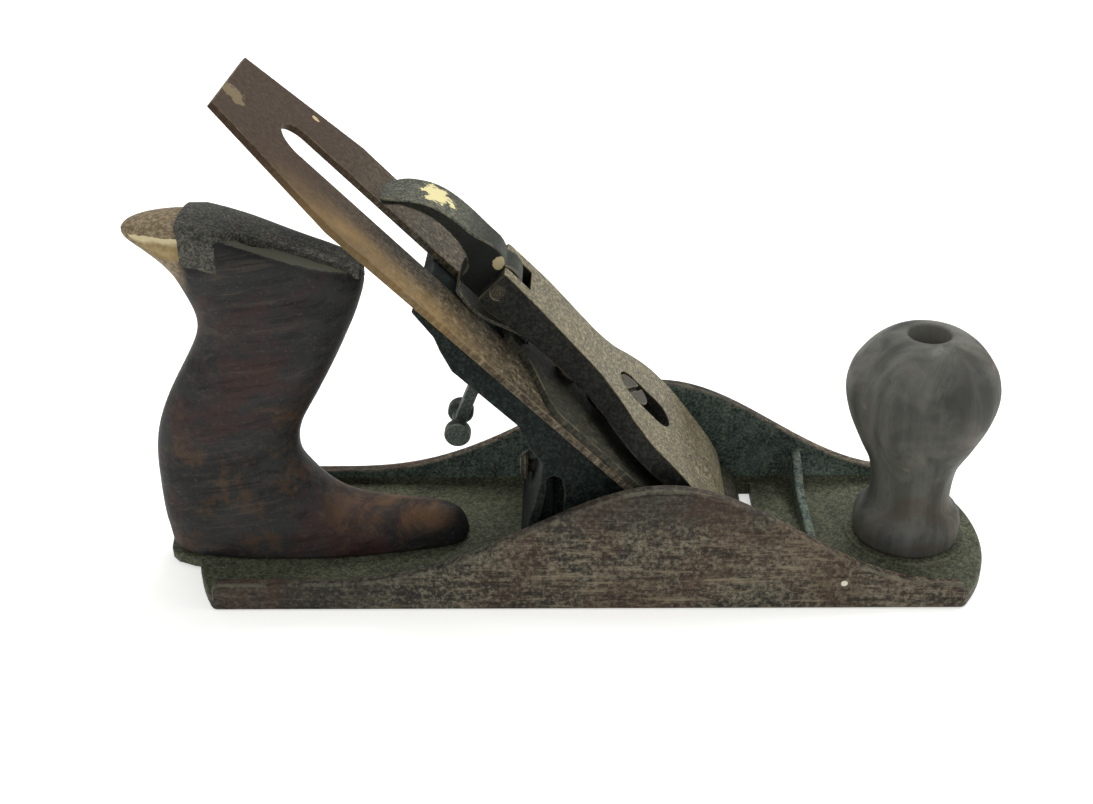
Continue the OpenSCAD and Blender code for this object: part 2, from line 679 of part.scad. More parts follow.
module cap_iron() {
    w = iron_w / 2;
    a0 = cap_iron_set;
    a1 = hump_a + hump_l;
    color([0.33, 0.3, 0.27]) on_bed() translate([iron_rise, 0, 0]) difference() {
        union() {
            side(iron_w) polygon(concat([[a0, 0]],
                [for (q = [10:10:80]) let (a = hump_a - (hump_a - a0) * cos(q)) [a, hump(a)]],
                [for (i = [0:12]) let (a = mix(hump_a, a1, i / 12)) [a, hump(a)]],
                [[a1 + over, cap_iron_t], [a1 + over, 0]],
                [for (i = [12:-1:0]) let (a = mix(hump_a, a1, i / 12)) [a, hollow(a)]],
                [for (q = [80:-10:10]) let (b = a0 + cap_iron_t, a = hump_a - (hump_a - b) * cos(q))
                    [a, hollow(a)]],
                [[a0 + cap_iron_t, 0]]));
            linear_extrude(height = cap_iron_t) intersection() {
                e = cap_iron_end_half;
                n = 12;
                polygon(concat([[a1, -w], [cap_iron_full, -w]],
                    [for (i = [1:n]) [mix(cap_iron_full, cap_iron_l - e * 0.6, i / n),
                                      mix(-w, -e, ease(i / n))]],
                    [for (q = [-60:20:60]) [cap_iron_l - e * 0.6 * (1 - cos(q)) , e * sin(q)]],
                    [for (i = [n:-1:1]) [mix(cap_iron_full, cap_iron_l - e * 0.6, i / n),
                                         mix(w, e, ease(i / n))]],
                    [[cap_iron_full, w], [a1, w]]));
            }
        }
        // Slot for the lever cap screw
        translate([0, 0, -over]) linear_extrude(height = cap_iron_t + 2 * over)
            slot(cap_bolt_a - 9.5, cap_bolt_a + 9, 11.8);
        translate([cap_screw_a - iron_rise, 0, -over])
            cylinder(r = cap_screw_r + thread_fit, h = cap_iron_t + 2 * over);
        // Hole for the adjuster's tooth
        translate([adj_a - iron_rise - tooth_r - 0.15, -tooth_w / 2 - 0.3, -over])
            cube([2 * tooth_r + 0.3, tooth_w + 0.6, cap_iron_t + 2 * over]);
    }
}

module cap_iron_screw() {
    color([0.36, 0.33, 0.3]) on_bed() translate([cap_screw_a, 0, 0]) difference() {
        union() {
            translate([0, 0, -iron_t - cap_screw_head_t])
                cylinder(r = cap_screw_head_r, h = cap_screw_head_t);
            translate([0, 0, -iron_t]) cylinder(r = cap_screw_r,
                h = iron_t + cap_iron_t + cap_screw_up);
        }
        translate([-2 * cap_screw_head_r, -driver_w / 2, -iron_t - cap_screw_head_t - over])
            cube([4 * cap_screw_head_r, driver_w, over + 1]);
    }
}

// Height of the lever cap's face, and its half width, at a up the bed
function cap_top(a) =
    let (p = [[cap_lip_a, cap_lip_h + cap_lip_t], [cap_lip_a + 3, 7.0], [cap_lip_a + 10, 8.9],
              [35, 10.4], [45, 11.7], [cap_bolt_a, cap_face_h],
              [cap_screw_a + 3, cap_face_h + 1.2], [cam_a - 13, cap_face_h + 2.3],
              [cam_a + 8, cap_face_h + 2.8]])
    curve(p, 4);
cap_half_pts = [[cap_lip_a, cap_half], [cap_lip_a + 15, cap_half], [cap_bolt_a - 14.2, cap_half],
                [cap_bolt_a - 6.2, cap_half - 0.9], [cap_bolt_a + 1.3, cap_half - 4.6],
                [cap_bolt_a + 7.8, cap_neck_half + 3], [cap_screw_a - 2, cap_neck_half + 0.5],
                [cap_screw_a + 6, cap_neck_half], [cam_a - 13, cap_neck_half],
                [cam_a - 4, cap_neck_half - 0.6], [cam_a + 8, cap_neck_half - 1.5]];

module cap_plan(inset, a0, a1) {
    p = [for (q = curve(cap_half_pts, 4)) if (q[0] >= a0 && q[0] <= a1) q];
    polygon(concat([for (q = p) [q[0], inset - q[1]]], [for (q = back(p)) [q[0], q[1] - inset]]));
}

// The lever cap: a hollow casting with ears for the cam and a keyhole for its screw
module lever_cap() {
    t = cap_top(0);
    a1 = cam_a + ear_r;
    hollow_a = cap_lip_a + 12;
    color([0.5, 0.46, 0.4]) on_bed() difference() {
        union() {
            difference() {
                intersection() {
                    linear_extrude(height = cap_face_h + 2 * over + 4) cap_plan(0, 0, a1);
                    side(body_w) difference() {
                        polygon(concat(t, [[cam_a + 8, cap_skirt_h - over * 3],
                            [cap_lip_a + 22, cap_skirt_h], [cap_lip_a + 17, cap_lip_h],
                            [cap_lip_a, cap_lip_h]]));
                        polygon([[cap_lip_a + 22, cap_lip_h - over], [cap_lip_a + 22, cap_skirt_h],
                                 [cam_a - 15, cap_skirt_h], [cam_a - 6, cap_skirt_h - 1.4],
                                 [cam_a - 2, cap_skirt_h - 2], [cam_a + 9, cap_skirt_h - 2],
                                 [cam_a + 9, cap_lip_h - over * 4]]);
                    }
                }
                // Hollow underside
                intersection() {
                    linear_extrude(height = cap_face_h + 4) cap_plan(cap_wall_t, hollow_a,
                        cam_a - 7);
                    side(body_w) polygon(concat([[0, 0]],
                        [for (q = t) [q[0], q[1] - cap_plate_t]], [[cam_a + 8, 0]]));
                }
            }
            // Thick part round the keyhole, and the boss for the spring
            intersection() {
                translate([0, 0, cap_floor - 2.6]) linear_extrude(height = 4)
                    slot(key_a - 9.4, cap_bolt_a + 7.5, 17);
                linear_extrude(height = cap_face_h) cap_plan(1, 0, a1);
            }
            translate([boss_a - 5, 1 - cap_neck_half, boss_spring_h() + boss_fit])
                cube([10, 2 * cap_neck_half - 2, cap_face_h - boss_spring_h() - boss_fit - 1]);
        }
        // Keyhole: a recess for the screw's head, a narrow slot and a wide hole
        translate([0, 0, cap_floor]) linear_extrude(height = 9)
            slot(key_a - cap_bolt_head_r, cap_bolt_a + cap_bolt_head_r + 0.4,
                 2 * cap_bolt_head_r + 0.8);
        translate([0, 0, 0]) linear_extrude(height = 12)
            slot(key_a - 1, cap_bolt_a + cap_bolt_r + 0.32, 2 * cap_bolt_r + 0.64);
        translate([key_a, 0, 0]) cylinder(r = key_hole_r, h = 20);
        // Space for the cam between the ears, and its pin's holes
        translate([cam_a, -cam_hub_w / 2 - 0.2, -over]) cube([20, cam_hub_w + 0.4, 30]);
        translate([cam_a, 0, cam_h]) across(cam_clear_r, cam_hub_w + 0.4);
        translate([cam_a, 0, cam_h]) across(cam_pin_r + pin_fit, body_w);
        // The ears end round
        side(body_w) difference() {
            translate([cam_a, -over]) square([20, 30]);
            translate([cam_a, cam_h]) circle(ear_r);
            translate([cam_a - over, cam_h]) square([over + eps, 20]);
        }
        translate([boss_a, 0, 0]) cylinder(r = rivet_r + thread_fit, h = cap_face_h - 2);
    }
}
function boss_spring_h() = cap_skirt_h + 0.4 + spring_t;

// Path of the leaf spring's middle line
spring_path = curve([[boss_a - 4.6, boss_spring_h() - spring_t / 2],
    [boss_a, boss_spring_h() - spring_t / 2], [boss_a + 5, boss_spring_h() - spring_t / 2],
    [boss_a + 11, 5.8], [boss_a + 17, 4.1], [boss_a + 22, 2.1], [cam_a - 2, 0.95],
    [cam_a + 1.5, 0.85], [cam_a + 5, 1.2], [cam_a + 7.6, 1.9]], 4);
function unit(v) = v / norm(v);
function normal_at(p, i) =
    let (d = unit(p[min(i + 1, len(p) - 1)] - p[max(i - 1, 0)])) [-d[1], d[0]];

module lever_cap_spring() {
    p = spring_path;
    h = spring_t / 2;
    color([0.3, 0.29, 0.28]) on_bed() difference() {
        side(spring_w) polygon(concat(
            [for (i = [0:len(p) - 1]) p[i] + normal_at(p, i) * h],
            [for (i = [len(p) - 1:-1:0]) p[i] - normal_at(p, i) * h]));
        translate([boss_a, 0, 0]) cylinder(r = rivet_r + thread_fit, h = 20);
    }
}

module spring_rivet() {
    z = boss_spring_h() - spring_t;
    color([0.4, 0.39, 0.37]) on_bed() translate([boss_a, 0, 0]) {
        translate([0, 0, z - 0.8]) cylinder(r = 2 * rivet_r, h = 0.8);
        translate([0, 0, z]) cylinder(r = rivet_r, h = cap_face_h - 2.3 - z);
    }
}

// Cam lever, drawn in side view about its pin and then widened at the thumb
module cam_lever() {
    k = cam_reach / 38.3;
    top = curve([[2.6, 5.4], [7, 7], [15, 6.3], [22, 5.9], [28, 4.5], [33, 1.5], [36.5, -2],
                 [38.3, -5]], 4);
    low = curve([[36.9, -4.9], [33.4, -1.1], [27.1, 1.5], [21.3, 2.4], [15.1, 1.5], [10, -1.6],
                 [9, -4.6], [8.5, -6.5]], 4);
    w = cam_thumb_w / 2;
    h = cam_hub_w / 2;
    color([0.46, 0.45, 0.42]) on_bed() translate([cam_a, 0, cam_h]) difference() {
        union() {
            intersection() {
                side(body_w) polygon(concat([for (q = top) [q[0] * k, q[1]]],
                    [for (q = low) [q[0] * k, q[1]]], [[0, -6.5], [0, 0]]));
                translate([0, 0, -10]) linear_extrude(height = 30) polygon(concat(
                    [[-1, -h], [8.2, -h]],
                    [for (i = [1:6]) [mix(8.2, 17, i / 6) * k, -mix(h, w, ease(i / 6))]],
                    [for (q = [-90:15:90]) [(34.5 + 4.5 * cos(q)) * k, w * sin(q)]],
                    [for (i = [6:-1:1]) [mix(8.2, 17, i / 6) * k, mix(h, w, ease(i / 6))]],
                    [[8.2, h], [-1, h]]));
            }
            across(cam_hub_r, cam_hub_w);
        }
        across(cam_pin_r + run_fit, body_w);
    }
}

module cam_pin() {
    color([0.4, 0.39, 0.37]) on_bed()
        translate([cam_a, 0, cam_h]) across(cam_pin_r, 2 * cap_neck_half - 2.4);
}

// Half section of the knob, from its foot to the rim of its hole
module knob() {
    k = knob_h / 64.6;
    function mid(t) = mix(knob_neck_r, knob_r, t);
    p = curve([[knob_foot_r - 0.5, 0], [knob_foot_r, 1.2], [knob_foot_r, 5.4],
        [knob_foot_r - 0.9, 8.4], [knob_neck_r + 0.6, 11.4], [knob_neck_r, 15.5],
        [mid(0.11), 24], [mid(0.47), 31.4], [mid(0.84), 39.7], [knob_r, 46.8],
        [mid(0.93), 52], [mid(0.76), 55.4], [mid(0.45), 59.4], [mid(0.05), 62.6],
        [knob_hole_r + 2.4, 64.3], [knob_hole_r + 0.4, 64.6]], 3);
    color([0.2, 0.15, 0.12]) translate([st(knob_s), 0, knob_z]) difference() {
        rotate_extrude($fn = 96) polygon(concat([[0, 0]], [for (q = p) [q[0], q[1] * k]],
            [[0, 64.6 * k]]));
        translate([0, 0, -over]) cylinder(r = rod_r + hole_fit, h = knob_h);
        translate([0, 0, knob_h - knob_hole_d])
            cylinder(r = knob_hole_r, h = knob_hole_d + over);
    }
}

module rod(len) {
    cylinder(r = rod_r, h = len);
}

// Slotted nut with a socket for the end of a rod
module rod_nut(r) {
    difference() {
        cylinder(r = r, h = nut_l);
        translate([0, 0, -over]) cylinder(r = rod_r + thread_fit, h = over + nut_l - 2.2);
        translate([-2 * r, -driver_w / 2, nut_l - 1.4]) cube([4 * r, driver_w, 3]);
    }
}

module knob_rod() {
    color([0.4, 0.38, 0.33]) translate([st(knob_s), 0, plug_z + gap])
        rod(knob_z + knob_h - knob_hole_d + nut_l - 2.5 - plug_z - gap);
}

module knob_nut() {
    color([0.55, 0.45, 0.28]) translate([st(knob_s), 0, knob_z + knob_h - knob_hole_d])
        rod_nut(knob_hole_r - gap);
}

// Ridge of the tote's foot from its tip back: distance ahead of the reference point, and height
foot_ridge = [[tote_front, 3], [tote_front - 0.6, 5.6], [tote_front - 2.4, 8.6],
    [tote_front - 6, 10.4], [59, 11], [52, 11.3], [43.5, 11.8], [37.5, 12.9], [32, 15.8],
    [28, 19.8], [foot_x, foot_h]];
function foot_front(z) = lookup(z, [for (p = foot_ridge) [p[1], p[0]]]);
function foot_top(x) = lookup(x, back(foot_ridge));

// Sections of the tote from foot to head: height, rear, front, half width, squareness
tote_rows = [
    [0, tote_rear + 0.8, tote_front, tote_foot_half - 0.4, foot_square],
    [0.6, tote_rear + 0.4, tote_front, tote_foot_half, foot_square],
    [3, tote_rear, tote_front, tote_foot_half, foot_square],
    [5.6, tote_rear - 0.2, 69, tote_foot_half, foot_square],
    [8.6, tote_rear - 0.7, 67, tote_foot_half, 3], [10.4, tote_rear - 0.8, 64, tote_foot_half, 3],
    [11, tote_rear - 0.9, 59, tote_foot_half - 0.1, 2.9],
    [11.3, tote_rear - 0.9, 52, tote_foot_half - 0.1, 2.8],
    [11.8, tote_rear - 0.9, 43, tote_foot_half - 0.2, 2.8],
    [12.9, tote_rear - 0.9, 37, tote_foot_half - 0.3, 2.7],
    [15.8, tote_rear - 1, 32, tote_foot_half - 0.6, 2.6],
    [19.8, tote_rear - 1, 28, tote_foot_half - 1.1, 2.5],
    [foot_h, tote_rear - 0.9, foot_x, tote_foot_half - 1.8, 2.3],
    [31, -18.2, 22.9, tote_grip_half - 0.2, 2.2], [36, -17.3, 23.3, tote_grip_half - 0.4, 2.2],
    [41, -15.8, 25.2, tote_grip_half - 0.4, 2.2],
    [47, -13.2, 28.8, tote_grip_half - 0.4, 2.2], [54, -9.4, 32.8, tote_grip_half - 0.2, 2.2],
    [61, -5.2, 36.6, tote_grip_half, 2.2], [67, -2, 39.6, tote_grip_half + 0.2, 2.2],
    [72, -0.8, 42, tote_head_half - 0.4, 2.2], [77, -1.6, 44, tote_head_half - 0.1, 2.3],
    [82, -3.6, 45.6, tote_head_half, 2.3], [86, -5.4, 45.6, tote_head_half, 2.3],
    [90, -8.6, 44.6, tote_head_half - 0.2, 2.3], [94, -13, 41, tote_head_half - 0.6, 2.3],
    [96.8, -16.6, 35, tote_head_half - 1.2, 2.3], [98.4, -17.8, 30, tote_head_half - 1.9, 2.2],
    [99.8, -17, 25, tote_head_half - 3, 2.2], [100.9, -15, 19, tote_head_half - 4.4, 2.2],
    [101.7, -11.6, 12, tote_head_half - 6.6, 2.1], [102.2, -8, 5, tote_head_half - 9, 2]];

// Half width of a section at x: w where it is widest, n its squareness, c from -1 to 1 along it
function section_y(w, n, c) = w * pow(max(0, 1 - pow(abs(c), n)), 1 / n);

// Half width of the foot at x and height z, round across its ridge
function foot_y(w, x, z) =
    section_y(w, 3.6, max(0, x - foot_x) / (tote_front - foot_x))
    * (1 - 0.3 * ease((x - foot_x) / 44)) * section_y(1, 2.3, min(1, z / foot_top(x)));

tote_n = 28;
function tote_ring(row, front) = [for (i = [0:tote_n - 1])
    let (q = 360 * i / tote_n,
         x = mix(row[1], front, (1 - cos(q)) / 2),
         w = section_y(row[3], row[4], cos(q)) * (1 - 0.36 * ease((x - foot_x) / 44)),
         y = row[0] < foot_h ? mix(w, foot_y(row[3], x, row[0]), ease((x - 20) / 8)) : w)
    [st(tote_s) + x, y * sign(sin(q)), sole_t + row[0] * tote_h / 103]];

// Closed skin over a stack of rings with n points each
module skin(rings, n) {
    m = len(rings);
    points = [for (r = rings) for (p = r) p];
    faces = concat([[for (i = [n - 1:-1:0]) i]],
        [for (j = [0:m - 2]) for (i = [0:n - 1]) let (a = j * n + i, b = j * n + (i + 1) % n)
            each [[a, b, a + n], [b, b + n, a + n]]],
        [[for (i = [0:n - 1]) (m - 1) * n + i]]);
    polyhedron(points, faces, convexity = 8);
}

// Height of the flat on the tote's head at the local x
function flat_z(x) = sole_t + tote_h - max(wrap_step, wrap_drop + wood_cut * (x - wrap_knee));

module tote() {
    color([0.22, 0.13, 0.1]) difference() {
        skin([for (r = curve(tote_rows, 2)) tote_ring(r, r[0] < foot_h ? foot_front(r[0]) : r[2])],
             tote_n);
        translate([st(tote_s), 0, 0]) side(body_w) polygon([[wrap_x0, flat_z(wrap_bend)],
            [wrap_bend, flat_z(wrap_bend)], [tote_front, flat_z(tote_front)],
            [tote_front, tote_h + 20], [wrap_x0, tote_h + 20]]);
        tote_stud(6 + gap, 0, 8 + gap);
        along_tote_rod() {
            cylinder(r = rod_r + hole_fit, h = tote_h + 20);
            translate([0, 0, tote_nut_a()]) cylinder(r = rod_nut_r() + gap, h = 30);
        }
    }
}
function rod_nut_r() = knob_hole_r - gap;
function tote_nut_a() = tote_h - 3 - tote_hole_d;

module tote_rod() {
    color([0.4, 0.38, 0.33]) along_tote_rod() translate([0, 0, plug_z + gap + 0.6])
        rod(tote_nut_a() + nut_l - 2.5 - plug_z - gap - 0.6);
}

module tote_nut() {
    color([0.55, 0.45, 0.28]) along_tote_rod() translate([0, 0, tote_nut_a()])
        rod_nut(rod_nut_r());
}

// Wrapped cap on the flat of the tote's head, cut back on the near side
wrap_n = 14;
function wrap_ring(i, n) =
    let (m = wrap_ledge_n,
         x = i < m ? mix(wrap_x0 + 0.02, wrap_bend, i / m)
                   : mix(wrap_bend, wrap_x1, (i - m) / (n - m)),
         near = mix(7.6, 4.4, ease((x - 9) / 8)) - 0.4 * ease((x - 30) / 15),
         far = mix(7.6, 6.4, ease((x - 12) / 20)),
         h = wrap_t * (1 - 0.3 * ease((x - 36) / 10)),
         z = flat_z(x) + 0.02)
    concat([[st(tote_s) + x, -near, z]],
        [for (k = [0:wrap_n]) let (s = mix(-1, 1, k / wrap_n))
            [st(tote_s) + x, s < 0 ? s * near : s * far,
             z + 0.9 + (h - 0.9) * (1 - pow(abs(s), 2.4))]],
        [[st(tote_s) + x, far, z]]);

module tote_wrap() {
    n = 16;
    color([0.16, 0.12, 0.11]) skin([for (i = [0:n]) wrap_ring(i, n)], wrap_n + 3);
}

body_casting();
frog();
frog_screws();
frog_washers();
frog_rear_screw();
adjusting_lever();
adjusting_pin();
lever_cap_screw();
cutter_iron();
cap_iron();
cap_iron_screw();
lever_cap();
lever_cap_spring();
spring_rivet();
cam_lever();
cam_pin();
knob();
knob_rod();
knob_nut();
tote();
tote_rod();
tote_nut();
tote_wrap();
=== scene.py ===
"""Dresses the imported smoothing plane: worn castings, turned knob, stained tote and a studio."""
import json
import math

import bmesh
import bpy
from bpy.props import FloatProperty, FloatVectorProperty, IntProperty, PointerProperty
from mathutils import Matrix, Vector
from mathutils.bvhtree import BVHTree


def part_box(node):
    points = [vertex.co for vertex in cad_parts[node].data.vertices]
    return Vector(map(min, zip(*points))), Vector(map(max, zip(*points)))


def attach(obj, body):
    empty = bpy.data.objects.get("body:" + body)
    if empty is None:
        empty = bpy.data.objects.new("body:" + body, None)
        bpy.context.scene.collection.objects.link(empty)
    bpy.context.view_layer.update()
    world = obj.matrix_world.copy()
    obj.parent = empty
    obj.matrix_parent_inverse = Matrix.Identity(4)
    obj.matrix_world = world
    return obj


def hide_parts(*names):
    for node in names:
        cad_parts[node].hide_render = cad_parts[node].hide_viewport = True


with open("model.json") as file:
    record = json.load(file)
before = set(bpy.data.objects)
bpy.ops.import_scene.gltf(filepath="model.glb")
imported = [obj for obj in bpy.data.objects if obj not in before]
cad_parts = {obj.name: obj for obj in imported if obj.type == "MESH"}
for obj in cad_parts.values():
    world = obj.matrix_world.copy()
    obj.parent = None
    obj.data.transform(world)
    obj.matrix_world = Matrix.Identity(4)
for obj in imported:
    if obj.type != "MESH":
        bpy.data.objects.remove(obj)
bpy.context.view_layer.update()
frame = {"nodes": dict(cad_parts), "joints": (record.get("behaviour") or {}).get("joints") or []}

bl_info = {
    "name": "Smoothing Plane",
    "version": (1, 0, 0),
    "blender": (4, 5, 0),
    "location": "View3D > Sidebar > Smoothing Plane",
    "description": "Builds the looks of a worn metal smoothing plane on its packed frame",
    "category": "Add Mesh",
}

MM = 0.001

# How the meshes are joined and rounded
CAD_MERGE = 2e-6
MERGE = 1e-6
FLAT_ANGLE = math.radians(0.8)
SHARP_ANGLE = math.radians(50)
EDGE_STEPS = 2
NORMAL_WEIGHT = 80

# How the nodes are laid out in their editor
NODE_COLUMNS = 8
NODE_GAP = (200, -260)

# Directions on the plane, and its walls' inner face and bed's top in millimetres
UP_BED = next(j["axis"] for j in frame["joints"] if j["name"] == "iron_slide")
BED_ANGLE = math.atan2(UP_BED[2], -UP_BED[0])
FACE_UP = (math.sin(BED_ANGLE), 0.0, math.cos(BED_ANGLE))
LEDGE_UP = (0.32, 0.0, 0.947)
WALL_INNER = 27.72
BED_TOP = 6.2

# Marks that the photograph shows: place, then radius, raggedness and share where they vary
MARK_BLUR = 0.12 * MM
PAINT_DROP = (69.6 * MM, -31.0 * MM, 8.6 * MM)
CAM_PAINT = (-38.6 * MM, 0.6 * MM, 110.0 * MM)
CAM_CHIP = (-23.1 * MM, -5.4 * MM, 93.2 * MM)
IRON_MARKS = (((-72.0 * MM, 20.4 * MM, 124.4 * MM), 1.0 * MM, 2 * MM, 0.9),
              ((-86.6 * MM, -6.0 * MM, 139.6 * MM), 3.4 * MM, 12 * MM, 0.22))

# Shader strengths that all materials share
BUMP_STRENGTH = 0.6
SPECULAR = 0.1


def srgb(r, g, b):
    """A colour given in 0 to 255 steps, as the linear values that the shaders use."""
    return tuple(v / 12.92 if v <= 0.04045 else ((v + 0.055) / 1.055) ** 2.4
                 for v in (r / 255, g / 255, b / 255))


def colour(name, text, value):
    """A colour property with a default."""
    return FloatVectorProperty(name=name, description=text, subtype="COLOR", size=3,
                               min=0.0, max=1.0, default=value)


def length(name, text, value):
    """A length property in metres with a default."""
    return FloatProperty(name=name, description=text, unit="LENGTH", min=0.0, default=value)


# Properties

class MetalLooks(bpy.types.PropertyGroup):
    """Sizes and colours of the castings and irons."""
    edge_round: length("Edge rounding", "Radius of the worn edges of the body", 0.7 * MM)
    iron_round: length("Iron edge rounding", "Radius of the edges of the irons", 0.22 * MM)
    rust_deep: colour("Deep rust", "Darkest tone of the body", srgb(40, 38, 35))
    rust_mid: colour("Rust", "Middle tone of the body", srgb(93, 89, 77))
    rust_pale: colour("Rust bloom", "Palest tone of the body", srgb(154, 143, 122))
    cap_face: colour("Lever cap", "Tone of the lever cap's face", srgb(121, 115, 93))
    iron_tone: colour("Iron", "Tone of the cutter iron", srgb(90, 82, 68))
    paint: colour("Old paint", "Tone of the paint left on the cam lever", srgb(226, 214, 160))


class WoodLooks(bpy.types.PropertyGroup):
    """Sizes and colours of the knob and the tote."""
    tote_tone: colour("Tote", "Lighter tone of the tote's grain", srgb(54, 54, 53))
    tote_worn: colour("Tote wear", "Tone where the tote's finish is worn", srgb(122, 92, 66))
    bare_wood: colour("Bare wood", "Tone of the fresh break under the horn", srgb(172, 152, 112))
    knob_tone: colour("Knob", "Lighter tone of the knob's grain", srgb(111, 110, 103))
    turning_steps: IntProperty(name="Turning steps", description="Faces round the knob",
                               min=24, max=256, default=128)
    grain: FloatProperty(name="Grain", description="Depth of the wood's pores", min=0.0, max=1.0,
                         default=0.35)


class StageLooks(bpy.types.PropertyGroup):
    """Studio around the plane."""
    floor_tone: colour("Floor", "Tone of the floor", (0.93, 0.92, 0.885))
    lamp_power: FloatProperty(name="Lamp power", description="Power that scales the lamps",
                              min=0.0, max=100.0, default=6.4)


# Mesh helpers

def new_piece(name, mesh, body, node, finish=None):
    """A shown piece that rides on a body and stands for a CAD node, with its finish."""
    piece = bpy.data.objects.new(name, mesh)
    bpy.context.scene.collection.objects.link(piece)
    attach(piece, body)
    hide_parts(node)
    if finish:
        mesh.materials.append(finish)
    return piece


def held(name, mesh):
    """A passing object that holds a mesh while modifiers work on it."""
    holder = bpy.data.objects.new(name, mesh)
    bpy.context.scene.collection.objects.link(holder)
    return holder


def released(holder):
    """The plain mesh that a passing object's modifiers make, with the object removed."""
    bpy.context.view_layer.update()
    depsgraph = bpy.context.evaluated_depsgraph_get()
    result = bpy.data.meshes.new_from_object(holder.evaluated_get(depsgraph))
    holder.modifiers.clear()
    bpy.data.objects.remove(holder)
    return result


def finished(mesh, *modifiers):
    """The mesh after the modifiers, each given as its type and a dict of its settings."""
    holder = held("holder", mesh)
    for kind, settings in modifiers:
        mod = holder.modifiers.new(kind, kind)
        for key, value in settings.items():
            setattr(mod, key, value)
    return released(holder)


def merged_copy(node):
    """A bmesh of a CAD node with its doubled corners joined."""
    bm = bmesh.new()
    bm.from_mesh(frame["nodes"][node].data)
    bmesh.ops.remove_doubles(bm, verts=bm.verts, dist=CAD_MERGE)
    return bm


def split_faces(bm):
    """Cuts every face of more than four corners into triangles."""
    bmesh.ops.triangulate(bm, faces=[f for f in bm.faces if len(f.verts) > 4])


def softened(node, width, angle=24.0, keep=None):
    """A mesh of a CAD node with its outer edges rounded and marked as worn."""
    bm = merged_copy(node)
    worn = bm.faces.layers.float.new("worn")
    bmesh.ops.dissolve_limit(bm, angle_limit=FLAT_ANGLE, verts=bm.verts, edges=bm.edges)
    split_faces(bm)
    edges = [e for e in bm.edges if len(e.link_faces) == 2
             and e.calc_face_angle_signed(0.0) > math.radians(angle)
             and (keep is None or keep((e.verts[0].co + e.verts[1].co) / 2))]
    made = bmesh.ops.bevel(bm, geom=edges, offset=width, offset_type="OFFSET",
                           segments=EDGE_STEPS, profile=0.5, affect="EDGES", clamp_overlap=False)
    for face in made["faces"]:
        face[worn] = 1.0
    split_faces(bm)
    low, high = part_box(node)
    for vert in bm.verts:
        vert.co = [min(max(c, a), b) for c, a, b in zip(vert.co, low, high)]
    mesh = bpy.data.meshes.new(node + "_soft")
    bm.to_mesh(mesh)
    bm.free()
    mesh.shade_smooth()
    mesh.set_sharp_from_angle(angle=SHARP_ANGLE)
    return finished(mesh, ("WEIGHTED_NORMAL", {"keep_sharp": True, "weight": NORMAL_WEIGHT}))


def outward(mesh, merge=0.0):
    """The mesh with its faces turned outwards, after its doubles are merged where asked."""
    bm = bmesh.new()
    bm.from_mesh(mesh)
    if merge:
        bmesh.ops.remove_doubles(bm, verts=bm.verts, dist=merge)
    bmesh.ops.recalc_face_normals(bm, faces=bm.faces)
    bm.to_mesh(mesh)
    bm.free()
    return mesh


def grid_mesh(name, rows):
    """An open sheet through rows of points, all rows alike in count."""
    count = len(rows[0])
    verts = [p for row in rows for p in row]
    corners = [j * count + i for j in range(len(rows) - 1) for i in range(count - 1)]
    mesh = bpy.data.meshes.new(name)
    mesh.from_pydata(verts, [], [(a, a + 1, a + 1 + count, a + count) for a in corners])
    outward(mesh, MERGE).shade_smooth()
    return mesh


def ease(t):
    """Smooth step from 0 to 1."""
    t = min(max(t, 0.0), 1.0)
    return t * t * (3 - 2 * t)


def mix(a, b, t):
    """Straight mix of two numbers."""
    return a + (b - a) * t


# Node helpers

